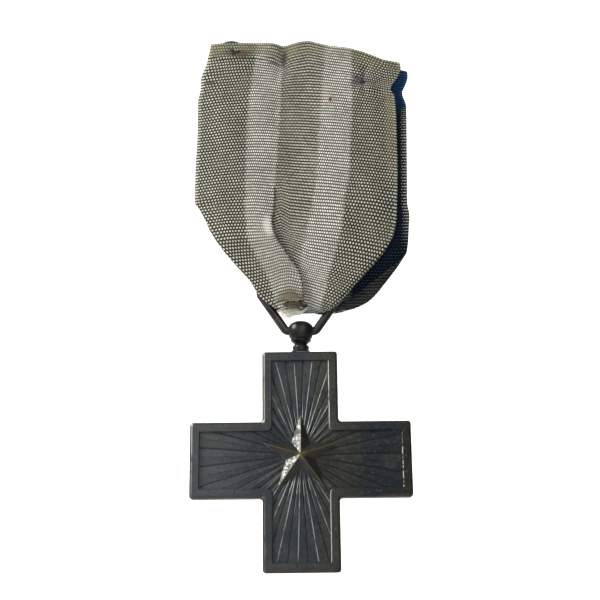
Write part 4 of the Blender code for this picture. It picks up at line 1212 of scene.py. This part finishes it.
# The tuft's middle line below the fold: x, height, half its width, millimetres
TUFT = (
    (-4.0, -4.35, 0.14), (-3.6, -4.55, 0.46), (-3.24, -5.00, 0.80), (-2.0, -5.16, 0.64),
    (-1.0, -5.06, 0.46), (0.0, -4.92, 0.28), (0.55, -4.58, 0.18), (1.05, -4.05, 0.08))
TUFT_X, TUFT_MIDDLE, TUFT_HALF = (np.array(column) for column in zip(*TUFT))
TUFT_ENDS = (-3.9, 1.05)
TUFT_DEPTH = -1.50
FRAY_SEED = 11
LOOSE_COUNT, WORN_COUNT, SUNK_COUNT = 150, 70, 36
THINNING = 0.6                       # of a loose thread's width, by its end


def front_at(x, z):
    """Depth of the front leaf at one place."""
    return float(front_depth(np.array([x]), np.array([z]))[0])


def fray_point(x, depth, z):
    return Vector((x * MM, depth * MM + PLANE_Y, z * MM + BAR_AT.z))


def loose_route(random):
    """A thread end that lies in the tuft."""
    left, right = TUFT_ENDS
    x = random.uniform(left, 0.9)
    reach = random.uniform(0.6, 2.2) * (1 if random.random() < 0.6 else -1)
    level, swing, start = random.uniform(-0.9, 0.9), random.uniform(0.1, 0.45), random.uniform(0.0, 2 * pi)
    route = []
    for share in np.linspace(0.0, 1.0, 11):
        here = min(max(x + reach * share, left), right)
        aside = max(-1.0, min(1.0, level + swing * sin(start + 5.0 * share)))
        z = float(np.interp(here, TUFT_X, TUFT_MIDDLE) + aside * np.interp(here, TUFT_X, TUFT_HALF))
        route.append(fray_point(here, TUFT_DEPTH - 0.30 * aside + 0.16 * sin(start + 3.0 * share), z))
    return route[:1] + [point for before, point in zip(route, route[1:]) if (point - before).length > 1e-6]


def worn_route(random, share):
    """A coarse thread on the cloth above the fold."""
    x, z = -4.3 + 3.6 * share, -3.15 + 1.0 * random.random() * sin(pi * share)
    heading = radians(50.0 - 22.0 * share) + random.uniform(-0.35, 0.35)
    route = []
    for step in range(9):
        lie = front_at(x, z) - 0.96 * float(bell(x - 0.1, 8.0))
        route.append(fray_point(x, lie - 0.10 - 0.10 * sin(pi * step / 8), z))
        x, z = x + cos(heading) * 0.155, z + sin(heading) * 0.155
        heading += random.uniform(-0.16, 0.10)
    return route


def sunk_route(random, share):
    """A thread across the bottom of the worn hole."""
    x, z = random.uniform(-3.2, -2.4), -3.15 - 1.15 * share
    rise, start, sunk = random.uniform(-0.05, 0.05), random.uniform(0.0, 2 * pi), random.uniform(0.18, 0.55)
    route = []
    for step in range(11):
        route.append(fray_point(x, front_at(x, z) - 0.6 * float(smooth_step(-x, -1.0, 1.0)) + sunk, z))
        x, z = x + 0.36, z + rise + 0.05 * sin(start + 0.8 * step)
    return route


def build_fray(cream, brown):
    """Loose weft ends below the fold, and coarse brown ones over the worn place above it."""
    random = np.random.default_rng(FRAY_SEED)
    threads = []

    def spin(name, route, thin, thick, material):
        width = random.uniform(thin, thick) * MM
        threads.append(sweep(name, route, width, 6, material, closed=False))

    for _ in range(LOOSE_COUNT):
        route = loose_route(random)
        if len(route) > 3:
            spin("loose", route, 0.03, 0.055, cream)
    for number in range(WORN_COUNT):
        spin("worn", worn_route(random, number / (WORN_COUNT - 1)), 0.05, 0.085, brown)
    for number in range(SUNK_COUNT):
        spin("sunk", sunk_route(random, number / (SUNK_COUNT - 1)), 0.05, 0.08, brown)
    fray = join_all("fray", threads)
    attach(fray, "ring")
    return fray


def dress_metal():
    bronze = bronze_material()
    dark = dark_metal("bronze_turned", (0.003, 0.003, 0.004), (0.015, 0.014, 0.012), (0.065, 0.050, 0.032))
    wire = dark_metal("ring_wire_dark", (0.012, 0.013, 0.012), (0.032, 0.032, 0.026), (0.085, 0.075, 0.05))
    build_cross_look(bronze)
    build_ball_look(dark)
    build_neck_look(dark)
    build_ring_look(wire)
    steel = dark_metal("pin_steel", (0.20, 0.19, 0.17), (0.34, 0.32, 0.29), (0.13, 0.055, 0.025), 0.85, 0.40)
    for node in ("pin_plate", "hinge_bracket", "hinge_rivet", "pin_needle", "catch_hook"):
        for slot in frame["nodes"][node].material_slots:
            slot.material = steel
    thread = thread_material("thread_dark", (0.006, 0.007, 0.010), (0.022, 0.024, 0.030))
    build_stitch_look("stitch_left", radians(-76.0), thread)
    build_stitch_look("stitch_right", radians(-62.0), thread)
    cream = thread_material("thread_cream", (0.46, 0.44, 0.34), (0.82, 0.80, 0.70))
    return build_fray(cream, thread_material("thread_worn", (0.050, 0.042, 0.025), (0.24, 0.21, 0.14)))


def main():
    bpy.context.scene.view_settings.view_transform = "Standard"
    build_camera()
    build_lights()
    build_floor()
    upper, loop, rear = dress_ribbon()
    fray = dress_metal()


main()
